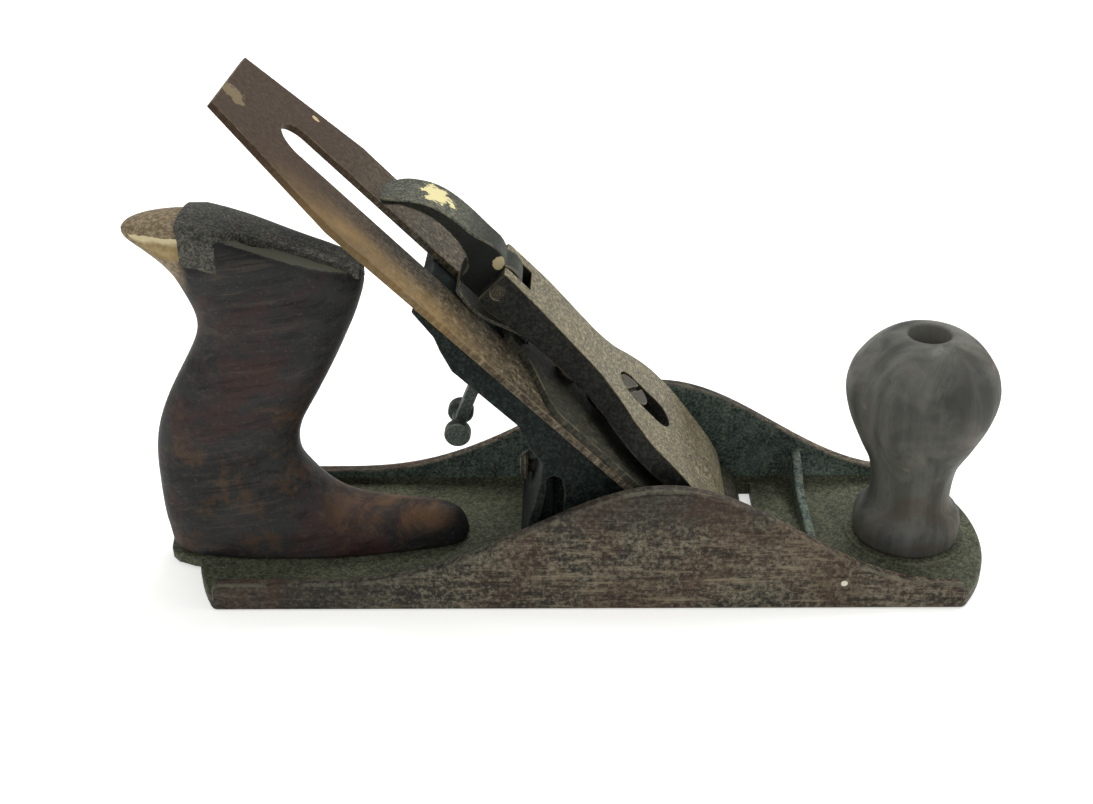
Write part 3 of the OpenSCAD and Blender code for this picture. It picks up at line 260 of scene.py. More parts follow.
class Nodes:
    """Short way to write a node tree: put makes a node and links or sets its inputs."""

    def __init__(self, tree):
        self.tree = tree
        self.count = 0

    def feed(self, socket, value):
        """Links another node's output to a socket, or sets the socket's own value."""
        if isinstance(value, bpy.types.NodeSocket):
            self.tree.links.new(value, socket)
        elif socket.type == "RGBA":
            socket.default_value = (*value[:3], 1.0)
        else:
            socket.default_value = value

    def put(self, kind, inputs=None, **settings):
        """A node with inputs given by name or place, each a value or another node's output."""
        node = self.tree.nodes.new(kind)
        row, column = divmod(self.count, NODE_COLUMNS)
        node.location = (NODE_GAP[0] * column, NODE_GAP[1] * row)
        self.count += 1
        for key, value in settings.items():
            setattr(node, key, value)
        for key, value in (inputs or {}).items():
            self.feed(node.inputs[key], value)
        return node

    def math(self, operation, a, b=0.0):
        """The result of a Math node."""
        return self.put("ShaderNodeMath", {0: a, 1: b}, operation=operation).outputs[0]

    def times(self, *values):
        """The product of two or more values."""
        result = values[0]
        for value in values[1:]:
            result = self.math("MULTIPLY", result, value)
        return result

    def plus(self, a, b):
        """The sum of two values."""
        return self.math("ADD", a, b)

    def band(self, value, low, high, out_low=0.0, out_high=1.0):
        """value mapped smoothly from low..high to out_low..out_high."""
        return self.put("ShaderNodeMapRange", {"Value": value, "From Min": low, "From Max": high,
                                               "To Min": out_low, "To Max": out_high},
                        interpolation_type="SMOOTHSTEP").outputs["Result"]

    def blend(self, factor, a, b):
        """A colour mixed from a to b."""
        return self.put("ShaderNodeMix", {0: factor, 6: a, 7: b}, data_type="RGBA").outputs[2]

    def noise(self, vector, scale, detail=4.0, rough=0.55, warp=0.0):
        """The value of a Noise texture."""
        return self.put("ShaderNodeTexNoise", {"Vector": vector, "Scale": scale, "Detail": detail,
                                               "Roughness": rough, "Distortion": warp}
                        ).outputs["Fac"]

    def stretch(self, vector, factors):
        """A vector with its three parts multiplied by factors."""
        return self.put("ShaderNodeVectorMath", {0: vector, 1: factors},
                        operation="MULTIPLY").outputs[0]

    def facing(self, direction):
        """Cosine of the angle between the surface's own normal and a direction."""
        normal = self.put("ShaderNodeNewGeometry").outputs["True Normal"]
        return self.put("ShaderNodeVectorMath", {0: normal, 1: direction},
                        operation="DOT_PRODUCT").outputs["Value"]


def shader_group(name, inputs, outputs):
    """An empty shader node group with its named sockets, and its input and output nodes."""
    group = bpy.data.node_groups.new(name, "ShaderNodeTree")
    for label, kind, value in inputs:
        socket = group.interface.new_socket(name=label, in_out="INPUT",
                                            socket_type="NodeSocket" + kind)
        if value is not None:
            socket.default_value = (*value, 1.0) if kind == "Color" else value
    for label, kind in outputs:
        group.interface.new_socket(name=label, in_out="OUTPUT", socket_type="NodeSocket" + kind)
    n = Nodes(group)
    return group, n, n.put("NodeGroupInput").outputs, n.put("NodeGroupOutput").inputs


def patina_group():
    """Mottled tones of old metal or finish, with its roughness and height."""
    group, n, i, o = shader_group(
        "patina", [("Vector", "Vector", None), ("Deep", "Color", (0.03, 0.03, 0.03)),
                   ("Mid", "Color", (0.1, 0.09, 0.08)), ("Pale", "Color", (0.2, 0.18, 0.15)),
                   ("Scale", "Float", 40.0), ("Bloom", "Float", 0.5), ("Smooth", "Float", 0.4),
                   ("Rough", "Float", 0.7)],
        [("Color", "Color"), ("Roughness", "Float"), ("Height", "Float")])
    fine_scale, grit_scale = 9.0, 26.0
    broad = n.noise(i["Vector"], i["Scale"], 8.0, 0.74, 0.3)
    fine = n.noise(i["Vector"], n.times(i["Scale"], fine_scale), 6.0, 0.75)
    grit = n.noise(i["Vector"], n.times(i["Scale"], grit_scale), 4.0, 0.7)
    tone = n.blend(n.band(broad, 0.2, 0.7), i["Deep"], i["Mid"])
    tone = n.blend(n.band(fine, 0.5, 0.36, 0.0, 0.8), tone, i["Deep"])
    tone = n.blend(n.times(n.band(fine, 0.52, 0.66), i["Bloom"]), tone, i["Pale"])
    tone = n.blend(n.band(grit, 0.48, 0.4, 0.0, 0.85), tone, i["Deep"])
    tone = n.blend(n.times(n.band(grit, 0.52, 0.6), i["Bloom"]), tone, i["Pale"])
    mean = n.plus(n.times(broad, 0.5), n.times(fine, 0.5))
    n.feed(o["Color"], tone)
    n.feed(o["Roughness"], n.band(mean, 0.35, 0.65, i["Smooth"], i["Rough"]))
    n.feed(o["Height"], n.plus(n.times(fine, 0.6), n.times(grit, 0.4)))
    return group


def edge_wear_group():
    """Broken-up mask of the worn edges, from the mesh's worn attribute."""
    group, n, i, o = shader_group(
        "edge_wear", [("Worn", "Float", 0.0), ("Vector", "Vector", None),
                      ("Scale", "Float", 120.0), ("Amount", "Float", 0.7)],
        [("Mask", "Float")])
    broken = n.band(n.noise(i["Vector"], i["Scale"], 5.0, 0.65), 0.4, 0.6)
    n.feed(o["Mask"], n.times(n.band(i["Worn"], 0.3, 1.0), n.times(broken, i["Amount"])))
    return group


def chips_group():
    """Small scattered chips where the surface is knocked bright."""
    group, n, i, o = shader_group(
        "chips", [("Vector", "Vector", None), ("Scale", "Float", 200.0), ("Share", "Float", 0.1)],
        [("Mask", "Float")])
    cells = n.put("ShaderNodeTexVoronoi", {"Vector": i["Vector"], "Scale": i["Scale"],
                                           "Randomness": 1.0}).outputs
    draw = n.put("ShaderNodeSeparateColor", {"Color": cells["Color"]}).outputs[0]
    picked = n.math("LESS_THAN", draw, i["Share"])
    n.feed(o["Mask"], n.times(picked, n.band(cells["Distance"], 0.34, 0.16)))
    return group


def scratches_group():
    """Fine lines along X of the vector, as pale lines, dark gaps and their height."""
    group, n, i, o = shader_group(
        "scratches", [("Vector", "Vector", None), ("Scale", "Float", 300.0),
                      ("Stretch", "Float", 0.04), ("Cover", "Float", 0.3)],
        [("Mask", "Float"), ("Gaps", "Float"), ("Height", "Float")])
    flat = n.put("ShaderNodeCombineXYZ", {0: i["Stretch"], 1: 1.0, 2: 1.0}).outputs[0]
    lines = n.noise(n.stretch(i["Vector"], flat), i["Scale"], 4.0, 0.7)
    n.feed(o["Mask"], n.times(n.band(lines, 0.53, 0.7), i["Cover"]))
    n.feed(o["Gaps"], n.times(n.band(lines, 0.46, 0.34), i["Cover"]))
    n.feed(o["Height"], lines)
    return group


def wood_grain_group():
    """Grain and pores along X of the vector."""
    group, n, i, o = shader_group(
        "wood_grain", [("Vector", "Vector", None), ("Dark", "Color", (0.03, 0.02, 0.02)),
                       ("Light", "Color", (0.1, 0.07, 0.05)), ("Scale", "Float", 60.0)],
        [("Color", "Color"), ("Height", "Float")])
    pore_scale = 16.0
    along = n.stretch(i["Vector"], (0.09, 1.0, 1.0))
    broad = n.noise(along, i["Scale"], 4.0, 0.55, 1.2)
    pores = n.noise(along, n.times(i["Scale"], pore_scale), 3.0, 0.6)
    tone = n.blend(n.band(broad, 0.3, 0.7), i["Dark"], i["Light"])
    tone = n.blend(n.times(n.band(pores, 0.55, 0.75), 0.55), tone, i["Dark"])
    n.feed(o["Color"], tone)
    n.feed(o["Height"], n.math("SUBTRACT", 1.0, n.band(pores, 0.52, 0.72)))
    return group


MAKERS = {"patina": patina_group, "edge_wear": edge_wear_group, "chips": chips_group,
          "scratches": scratches_group, "wood_grain": wood_grain_group}
GROUPS = {}


def group_output(n, name, inputs):
    """The outputs of a node group placed in a material; each group is built once."""
    if name not in GROUPS:
        GROUPS[name] = MAKERS[name]()
    return n.put("ShaderNodeGroup", inputs, node_tree=GROUPS[name]).outputs


def patina(n, place, deep, mid, pale, scale, bloom, smooth, rough):
    """The patina of three tones, its blotches sized by scale and its pale part by bloom."""
    return group_output(n, "patina", {"Vector": place, "Deep": deep, "Mid": mid, "Pale": pale,
                                      "Scale": scale, "Bloom": bloom, "Smooth": smooth,
                                      "Rough": rough})


def edge_wear(n, place, scale, amount):
    """The mask of the edges that the mesh marks as worn."""
    worn = n.put("ShaderNodeAttribute", attribute_name="worn").outputs["Fac"]
    return group_output(n, "edge_wear", {"Worn": worn, "Vector": place, "Scale": scale,
                                         "Amount": amount})["Mask"]


def chips(n, place, scale, share):
    """The mask of small chips on a share of the cells."""
    return group_output(n, "chips", {"Vector": place, "Scale": scale, "Share": share})["Mask"]


def scratches(n, vector, scale, stretch, cover):
    """The lines along X of a vector."""
    return group_output(n, "scratches", {"Vector": vector, "Scale": scale, "Stretch": stretch,
                                         "Cover": cover})


def wood_grain(n, vector, dark, light, scale):
    """The grain along X of a vector."""
    return group_output(n, "wood_grain", {"Vector": vector, "Dark": dark, "Light": light,
                                          "Scale": scale})


def material(name):
    """A new material: its node writer, its Principled shader and its object coordinates."""
    made = bpy.data.materials.new(name)
    made.use_nodes = True
    made.node_tree.nodes.clear()
    n = Nodes(made.node_tree)
    shader = n.put("ShaderNodeBsdfPrincipled")
    n.put("ShaderNodeOutputMaterial", {0: shader.outputs[0]})
    place = n.put("ShaderNodeTexCoord").outputs["Object"]
    return made, n, shader, place


def surface(n, shader, tone, rough, height, depth, metal=0.0):
    """Feeds the shader with a tone, roughness, bump and share of metal."""
    bump = n.put("ShaderNodeBump", {"Height": height, "Distance": depth,
                                    "Strength": BUMP_STRENGTH})
    for name, value in (("Normal", bump.outputs[0]), ("Base Color", tone), ("Roughness", rough),
                        ("Metallic", metal), ("Specular IOR Level", SPECULAR)):
        n.feed(shader.inputs[name], value)


def mark(n, place, centre, radius, ragged=0.0):
    """Mask of a mark about a point, its outline broken by a noise."""
    away = n.put("ShaderNodeVectorMath", {0: place, 1: centre}, operation="DISTANCE")
    waver = n.times(n.math("SUBTRACT", n.noise(place, 320.0, 5.0, 0.7), 0.5), ragged)
    return n.band(n.plus(away.outputs["Value"], waver), radius + MARK_BLUR, radius - MARK_BLUR)


def coordinates(n, place):
    """The three parts of a place, in millimetres."""
    parts = n.put("ShaderNodeSeparateXYZ", {0: place}).outputs
    return [n.times(parts[k], 1 / MM) for k in range(3)]


def along_bed(n, place):
    """Object coordinates turned so that X runs up the bed."""
    return n.put("ShaderNodeMapping", {"Vector": place, "Rotation": (0.0, BED_ANGLE, math.pi)},
                 vector_type="TEXTURE").outputs[0]


def tilted(n, place, angle):
    """Object coordinates turned about Y."""
    return n.put("ShaderNodeMapping", {"Vector": place, "Rotation": (0.0, angle, 0.0)}).outputs[0]


# Materials

def casting_material(looks):
    """Rusty outside, grey-green inner walls and a dusty bed."""
    made, n, shader, place = material("old_cast_iron")
    x, y, z = coordinates(n, place)
    rust = patina(n, place, looks.rust_deep, looks.rust_mid, looks.rust_pale,
                  scale=34.0, bloom=0.5, smooth=0.42, rough=0.72)
    dust = patina(n, place, srgb(54, 57, 47), srgb(90, 93, 74), srgb(128, 126, 101),
                  scale=52.0, bloom=0.45, smooth=0.6, rough=0.85)
    wall = patina(n, place, srgb(40, 51, 49), srgb(103, 116, 106), srgb(152, 158, 140),
                  scale=46.0, bloom=0.35, smooth=0.45, rough=0.7)
    # Painted shade darkens the outside towards the heel and towards the top of the rise
    heel = n.times(n.band(x, -30.0, -80.0), 0.62)
    crest_shade = n.times(n.band(z, 22.0, 33.0), 0.6)
    outside = n.blend(n.math("MAXIMUM", heel, crest_shade), rust["Color"], srgb(47, 48, 44))
    red = n.band(n.noise(place, 24.0, 7.0, 0.75, 0.6), 0.42, 0.66)
    outside = n.blend(n.times(red, 0.42), outside, srgb(90, 64, 50))
    lines = scratches(n, place, scale=700.0, stretch=0.09, cover=0.75)
    # The scratch lines are real wear, made paler towards the middle of the cheek by a painted
    # highlight
    middle_highlight = n.times(n.band(x, -70.0, 0.0, 0.25, 1.0), n.band(z, 30.0, 18.0, 0.2, 1.0))
    outside = n.blend(n.times(lines["Mask"], middle_highlight), outside, srgb(146, 133, 110))
    outside = n.blend(lines["Gaps"], outside, srgb(37, 34, 31))
    inner = n.math("LESS_THAN", n.math("ABSOLUTE", y), WALL_INNER)
    on_bed = n.times(inner, n.math("LESS_THAN", z, BED_TOP))
    tone = n.blend(inner, outside, wall["Color"])
    tone = n.blend(on_bed, tone, dust["Color"])
    tone = n.blend(edge_wear(n, place, scale=150.0, amount=0.5), tone, srgb(116, 112, 96))
    # A drop of white paint on the near wall
    tone = n.blend(mark(n, place, PAINT_DROP, radius=0.92 * MM), tone, srgb(232, 226, 206))
    height = n.plus(rust["Height"], n.times(lines["Height"], 0.3))
    surface(n, shader, tone, rust["Roughness"], height, depth=0.35 * MM)
    return made


def frog_material():
    """Grey-green casting, its dark tones partly its own and partly painted shade from lying under
    the iron.
    """
    made, n, shader, place = material("frog_casting")
    base = patina(n, place, srgb(13, 18, 18), srgb(31, 39, 37), srgb(66, 74, 67),
                  scale=44.0, bloom=0.34, smooth=0.45, rough=0.72)
    tone = n.blend(edge_wear(n, place, scale=160.0, amount=0.5), base["Color"],
                   srgb(82, 84, 74))
    surface(n, shader, tone, base["Roughness"], base["Height"], depth=0.4 * MM)
    return made


def iron_material(looks, name, dark=0.0, highlight_share=1.0):
    """Tarnished tool steel with a painted golden highlight along the near edge."""
    made, n, shader, place = material(name)
    _, y, z = coordinates(n, place)
    base = patina(n, place, srgb(50, 45, 38), looks.iron_tone, srgb(134, 122, 100),
                  scale=42.0, bloom=0.4, smooth=0.36, rough=0.58)
    lines = scratches(n, along_bed(n, place), scale=620.0, stretch=0.07, cover=0.8)
    # Paler down the bed, brown with rust at the upper end
    low = n.band(z, 118.0, 70.0, 0.3, 1.0)
    tone = n.blend(n.times(lines["Mask"], low), base["Color"], srgb(152, 138, 108))
    tone = n.blend(lines["Gaps"], tone, srgb(42, 31, 25))
    rust = n.blend(base["Roughness"], srgb(84, 62, 46), srgb(26, 18, 13))
    tone = n.blend(n.band(z, 92.0, 122.0, 0.0, 0.75), tone, rust)
    # A painted golden highlight along the near edge, over the middle of the iron's length
    near = n.times(n.band(y, -12.0, -27.0), n.band(z, 66.0, 90.0), n.band(z, 132.0, 108.0))
    painted_highlight = n.times(near, n.band(n.noise(place, 60.0, 4.0, 0.6), 0.3, 0.7, 0.45, 1.0))
    tone = n.blend(n.times(painted_highlight, 0.62 * highlight_share), tone, srgb(168, 136, 86))
    tone = n.blend(dark, tone, srgb(41, 48, 43))
    tone = n.blend(edge_wear(n, place, scale=130.0, amount=0.55), tone, srgb(136, 122, 96))
    for centre, radius, ragged, share in IRON_MARKS:
        pale = n.times(mark(n, place, centre, radius, ragged), share)
        tone = n.blend(pale, tone, srgb(206, 186, 140))
    height = n.plus(base["Height"], n.times(lines["Height"], 0.4))
    surface(n, shader, tone, base["Roughness"], height, depth=0.16 * MM)
    return made


def cap_material(looks):
    """Worn tan-grey face of the lever cap, and side walls made dark partly by patina and partly by
    painted shade.
    """
    made, n, shader, place = material("lever_cap_metal")
    turned = along_bed(n, place)
    face = patina(n, place, srgb(78, 71, 56), looks.cap_face, srgb(172, 162, 132),
                  scale=50.0, bloom=0.7, smooth=0.36, rough=0.6)
    side = patina(n, place, srgb(20, 22, 20), srgb(42, 42, 38), srgb(70, 66, 58),
                  scale=40.0, bloom=0.3, smooth=0.45, rough=0.68)
    # The sides that face away from the face take dark tones, partly patina and partly painted shade
    up = n.band(n.facing(FACE_UP), 0.45, 0.75)
    tone = n.blend(up, side["Color"], face["Color"])
    lines = scratches(n, turned, scale=460.0, stretch=0.08, cover=0.42)
    tone = n.blend(n.times(lines["Mask"], up), tone, srgb(70, 62, 49))
    # Rusty streaks near the broad end
    low = n.band(coordinates(n, place)[2], 44.0, 26.0)
    streak = n.band(n.noise(n.stretch(turned, (1.0, 0.2, 1.0)), 240.0, 4.0, 0.7), 0.52, 0.62)
    tone = n.blend(n.times(low, streak, 0.6), tone, srgb(70, 44, 34))
    worn = n.times(edge_wear(n, place, scale=140.0, amount=0.6), n.band(up, 0.0, 1.0, 0.4, 1.0))
    tone = n.blend(worn, tone, srgb(150, 138, 108))
    knocks = chips(n, place, scale=260.0, share=0.04)
    tone = n.blend(n.times(knocks, up, 0.5), tone, srgb(190, 176, 142))
    surface(n, shader, tone, face["Roughness"], face["Height"], depth=0.22 * MM)
    return made


def cam_material(looks):
    """Grey cam lever with a patch of old paint on its back."""
    made, n, shader, place = material("cam_metal")
    base = patina(n, place, srgb(52, 54, 48), srgb(104, 105, 91), srgb(150, 146, 122),
                  scale=50.0, bloom=0.4, smooth=0.4, rough=0.64)
    up = n.facing(FACE_UP)
    # Painted shade darkens the sides that turn away from the face direction
    tone = n.blend(n.band(up, 0.4, 0.1, 0.0, 0.9), base["Color"], srgb(22, 23, 21))
    # Darker towards its pivot
    low = n.band(coordinates(n, place)[2], 108.0, 98.0, 0.0, 0.75)
    tone = n.blend(low, tone, srgb(26, 29, 27))
    patch = n.times(mark(n, place, CAM_PAINT, radius=4.6 * MM, ragged=17 * MM),
                    n.math("GREATER_THAN", up, 0.3))
    tone = n.blend(patch, tone, looks.paint)
    chip = mark(n, place, CAM_CHIP, radius=1.7 * MM, ragged=3 * MM)
    tone = n.blend(chip, tone, srgb(186, 172, 134))
    tone = n.blend(edge_wear(n, place, scale=140.0, amount=0.5), tone, srgb(142, 136, 114))
    surface(n, shader, tone, base["Roughness"], n.plus(base["Height"], patch), depth=0.2 * MM)
    return made


def steel_material(name, deep, mid, pale, metal=0.1):
    """Small steel and brass pieces, brighter at their edges."""
    made, n, shader, place = material(name)
    base = patina(n, place, deep, mid, pale, scale=110.0, bloom=0.5, smooth=0.35, rough=0.6)
    bright = tuple(min(1.0, 1.5 * c) for c in pale)
    tone = n.blend(edge_wear(n, place, scale=300.0, amount=0.7), base["Color"], bright)
    surface(n, shader, tone, base["Roughness"], base["Height"], depth=0.1 * MM, metal=metal)
    return made


def knob_material(looks):
    """Dark turned hardwood with rubbed polish and faint turning rings."""
    made, n, shader, place = material("knob_wood")
    grain = wood_grain(n, tilted(n, place, math.pi / 2), srgb(65, 66, 62), looks.knob_tone, 70.0)
    rubbed = n.band(n.noise(place, 46.0, 4.0, 0.6, 0.5), 0.42, 0.66)
    tone = n.blend(n.times(rubbed, 0.5), grain["Color"], srgb(112, 109, 102))
    brown = n.band(n.noise(place, 34.0, 5.0, 0.65, 0.7), 0.5, 0.66)
    tone = n.blend(n.times(brown, 0.4), tone, srgb(88, 68, 54))
    blue = n.band(n.noise(place, 27.0, 5.0, 0.65, 0.9), 0.54, 0.7)
    tone = n.blend(n.times(blue, 0.4), tone, srgb(74, 82, 88))
    knocks = chips(n, place, scale=230.0, share=0.025)
    tone = n.blend(n.times(knocks, 0.45), tone, srgb(136, 126, 106))
    rings = n.noise(n.stretch(place, (0.02, 0.02, 1.0)), 900.0, 2.0, 0.5)
    height = n.plus(n.times(grain["Height"], looks.grain), n.times(rings, 0.12))
    surface(n, shader, tone, n.band(rubbed, 0.0, 1.0, 0.6, 0.46), height, depth=0.12 * MM)
    return made


def tote_material(looks):
    """Dark stained wood, worn brown at the foot, paler at the horn and bare at its break."""
    made, n, shader, place = material("tote_wood")
    lean = tilted(n, place, math.radians(8))
    x, y, z = coordinates(n, place)
    grain = wood_grain(n, lean, srgb(33, 34, 34), looks.tote_tone, 70.0)
    broad = n.noise(place, 30.0, 5.0, 0.65, 0.8)
    tone = n.blend(n.times(n.band(broad, 0.46, 0.64), 0.5), grain["Color"], srgb(66, 67, 66))
    maroon = n.band(n.noise(place, 38.0, 8.0, 0.75, 0.6), 0.46, 0.62)
    tone = n.blend(n.times(maroon, 0.5), tone, srgb(78, 52, 48))
    brown = n.times(n.band(n.noise(lean, 90.0, 7.0, 0.75), 0.5, 0.64), n.band(z, 60.0, 44.0))
    tone = n.blend(n.times(brown, 0.5), tone, srgb(98, 74, 54))
    lines = scratches(n, lean, scale=380.0, stretch=0.07, cover=0.42)
    tone = n.blend(lines["Mask"], tone, srgb(92, 83, 73))
    tone = n.blend(lines["Gaps"], tone, srgb(18, 17, 17))
    flecks = n.noise(lean, 900.0, 4.0, 0.75)
    tone = n.blend(n.band(flecks, 0.56, 0.7, 0.0, 0.4), tone, srgb(104, 92, 78))
    # Rubbed to the wood on top of the foot and low on the grip
    foot = n.times(n.band(z, 8.0, 13.0), n.band(z, 30.0, 20.0), n.band(x, -80.0, -64.0))
    rub = n.band(n.noise(lean, 62.0, 7.0, 0.75, 0.5), 0.38, 0.6)
    rub = n.times(foot, rub, n.band(x, -36.0, -46.0))
    tone = n.blend(n.times(rub, 0.7), tone, looks.tote_worn)
    # The horn's end is paler
    horn = n.times(n.band(x, -103.5, -107.5), n.band(z, 84.0, 92.0))
    dry = n.blend(n.band(flecks, 0.42, 0.6), srgb(118, 102, 80), srgb(164, 147, 118))
    tone = n.blend(n.times(horn, 0.9), tone, dry)
    # A bare break on the horn's near underside, bounded below by a sloping line
    break_top, break_foot, slope, corner = 103.8, 97.4, -0.75, 110.5
    under = n.plus(z, n.times(n.noise(place, 260.0, 4.0, 0.6), 2.0))
    rise = n.plus(n.math("MAXIMUM", n.times(n.plus(x, corner), slope), 0.0), break_foot)
    bare = n.times(n.math("LESS_THAN", under, break_top), n.math("LESS_THAN", y, -2.5),
                   n.math("GREATER_THAN", under, rise), n.band(x, -104.4, -105.4))
    pale = n.blend(n.band(n.noise(place, 420.0, 4.0, 0.7), 0.4, 0.6), looks.bare_wood,
                   srgb(150, 128, 90))
    pale = n.blend(n.band(under, 101.8, 103.2), pale, srgb(222, 206, 164))
    tone = n.blend(bare, tone, pale)
    # The flat beside the wrapped sheet is grey and dry
    ledge = n.times(n.band(n.facing(LEDGE_UP), 0.93, 0.975), n.band(z, 84.0, 86.0),
                    n.band(x, -104.0, -100.0))
    tone = n.blend(n.times(ledge, 0.85), tone, srgb(92, 92, 78))
    height = n.plus(n.times(grain["Height"], looks.grain), n.times(broad, 0.4))
    rough = n.math("MAXIMUM", n.band(broad, 0.3, 0.7, 0.42, 0.62), n.times(bare, 0.85))
    surface(n, shader, tone, rough, height, depth=0.25 * MM)
    return made


def wrap_material():
    """Hard dark sheet over the tote's head."""
    made, n, shader, place = material("wrap_sheet")
    base = patina(n, place, srgb(50, 50, 47), srgb(91, 90, 83), srgb(138, 134, 119),
                  scale=60.0, bloom=0.4, smooth=0.5, rough=0.72)
    tone = n.blend(edge_wear(n, place, scale=180.0, amount=0.6), base["Color"],
                   srgb(102, 92, 76))
    surface(n, shader, tone, base["Roughness"], base["Height"], depth=0.2 * MM)
    return made


# Operators

def settings(context):
    """The three groups of properties."""
    scene = context.scene
    return scene.plane_metal, scene.plane_wood, scene.plane_stage


class PLANE_OT_castings(bpy.types.Operator):
    """Build the body casting and the frog with rounded, worn edges"""
    bl_idname = "plane.castings"
    bl_label = "Castings"

    def execute(self, context):
        metal, _, _ = settings(context)

        def outer(p):
            """Whether an edge lies clear of the thin heel and the mouth, which stay sharp."""
            heel = abs(p.y) < 10 * MM and p.x < -90 * MM
            mouth = 38 * MM < p.x < 56 * MM and abs(p.y) < WALL_INNER * MM and p.z < 8 * MM
            return not heel and not mouth
        new_piece("casting", softened("body_casting", metal.edge_round, keep=outer),
                  "plane_body", "body_casting", casting_material(metal))
        new_piece("frog_body", softened("frog", width=0.45 * MM), "plane_body", "frog",
                  frog_material())
        return {"FINISHED"}


class PLANE_OT_irons(bpy.types.Operator):
    """Build the cutter iron and the cap iron with worn edges"""
    bl_idname = "plane.irons"
    bl_label = "Irons"

    def execute(self, context):
        metal, _, _ = settings(context)
        new_piece("iron", softened("cutter_iron", metal.iron_round), "iron_body", "cutter_iron",
                  iron_material(metal, "tool_steel"))
        new_piece("chip_breaker", softened("cap_iron", metal.iron_round, angle=30.0),
                  "iron_body", "cap_iron",
                  iron_material(metal, "cap_iron_steel", dark=0.62, highlight_share=0.3))
        return {"FINISHED"}


class PLANE_OT_lever_cap(bpy.types.Operator):
    """Build the lever cap, its cam lever and its spring"""
    bl_idname = "plane.lever_cap"
    bl_label = "Lever Cap"

    def execute(self, context):
        metal, _, _ = settings(context)
        new_piece("lever_cap_body", softened("lever_cap", width=0.35 * MM, angle=35.0), "cap_body",
                  "lever_cap", cap_material(metal))
        new_piece("cam", softened("cam_lever", width=0.45 * MM, angle=35.0), "cam_body", "cam_lever",
                  cam_material(metal))
        spring = steel_material("spring_steel", srgb(62, 61, 56), srgb(94, 92, 80),
                                srgb(148, 144, 122))
        new_piece("leaf_spring", softened("lever_cap_spring", width=0.15 * MM, angle=40.0),
                  "cap_body", "lever_cap_spring", spring)
        return {"FINISHED"}


class PLANE_OT_fasteners(bpy.types.Operator):
    """Build the screws, washers, nuts and adjusting lever with worn edges, and give the pins, rivet
    and rods plain steel
    """
    bl_idname = "plane.fasteners"
    bl_label = "Fasteners"

    def execute(self, context):
        steel = steel_material("dull_steel", srgb(38, 36, 32), srgb(66, 62, 52),
                               srgb(112, 106, 86))
        brass = steel_material("old_brass", srgb(70, 58, 36), srgb(112, 92, 54),
                               srgb(160, 134, 84), metal=0.6)
        black = steel_material("blackened_steel", srgb(42, 48, 45), srgb(74, 82, 76),
                               srgb(112, 118, 106))
        for body, slot, finish, widths in (
                ("plane_body", "fastener_steel", steel,
                 {"frog_screws": 0.3, "frog_washers": 0.15, "frog_rear_screw": 0.25,
                  "lever_cap_screw": 0.35}),
                ("iron_body", "fastener_steel", steel, {"cap_iron_screw": 0.25}),
                ("plane_body", "nut_metal", brass, {"knob_nut": 0.25, "tote_nut": 0.25}),
                ("adjuster_body", "lever_steel", black, {"adjusting_lever": 0.4})):
            for node, width in widths.items():
                new_piece(node + "_worn", softened(node, width * MM, angle=35.0), body, node,
                          finish)
        # The pins, the rivet and the rods stay as the CAD has them
        for node in ("adjusting_pin", "cam_pin", "spring_rivet", "knob_rod", "tote_rod"):
            mesh = frame["nodes"][node].data
            mesh.materials.clear()
            mesh.materials.append(steel)
        return {"FINISHED"}


def lathe_tree():
    """A node tree that turns a profile of points about an upright axis."""
    tree = bpy.data.node_groups.new("turned_profile", "GeometryNodeTree")
    face = tree.interface
    for label, kind in (("Profile", "Geometry"), ("Points", "Int"), ("Steps", "Int"),
                        ("Axis", "Vector"), ("Material", "Material")):
        face.new_socket(name=label, in_out="INPUT", socket_type="NodeSocket" + kind)
    face.new_socket(name="Mesh", in_out="OUTPUT", socket_type="NodeSocketGeometry")
    n = Nodes(tree)
    i = n.put("NodeGroupInput").outputs
    rows = n.plus(i["Steps"], 1.0)
    grid = n.put("GeometryNodeMeshGrid", {"Vertices X": i["Points"], "Vertices Y": rows,
                                          "Size X": 1.0, "Size Y": 1.0})
    index = n.put("GeometryNodeInputIndex").outputs[0]
    row = n.math("FLOOR", n.math("DIVIDE", index, rows))
    column = n.math("SUBTRACT", index, n.times(row, rows))
    point = n.put("GeometryNodeInputPosition").outputs[0]
    sample = n.put("GeometryNodeSampleIndex", {"Geometry": i["Profile"], "Value": point,
                                               "Index": row}, data_type="FLOAT_VECTOR")
    turn = n.times(n.math("DIVIDE", column, i["Steps"]), 2 * math.pi)
    spun = n.put("ShaderNodeVectorRotate", {"Vector": sample.outputs[0], "Angle": turn},
                 rotation_type="Z_AXIS")
    placed = n.put("ShaderNodeVectorMath", {0: spun.outputs[0], 1: i["Axis"]}, operation="ADD")
    built = n.put("GeometryNodeSetPosition", {"Geometry": grid.outputs["Mesh"],
                                              "Position": placed.outputs[0]})
    for kind, extra in (("GeometryNodeMergeByDistance", {"Distance": MERGE}),
                        ("GeometryNodeSetShadeSmooth", {}), ("GeometryNodeRealizeInstances", {}),
                        ("GeometryNodeSetMaterial", {"Material": i["Material"]})):
        built = n.put(kind, {"Geometry": built.outputs[0], **extra})
    n.put("NodeGroupOutput", {0: built.outputs[0]})
    return tree


def run_tree(name, mesh, tree, values):
    """The plain mesh that a node tree makes from a mesh, with its inputs set by identifier."""
    holder = held(name, mesh)
    mod = holder.modifiers.new("build", "NODES")
    mod.node_group = tree
    for item in tree.interface.items_tree:
        if item.item_type == "SOCKET" and item.in_out == "INPUT" and item.name in values:
            mod[item.identifier] = values[item.name]
    return released(holder)


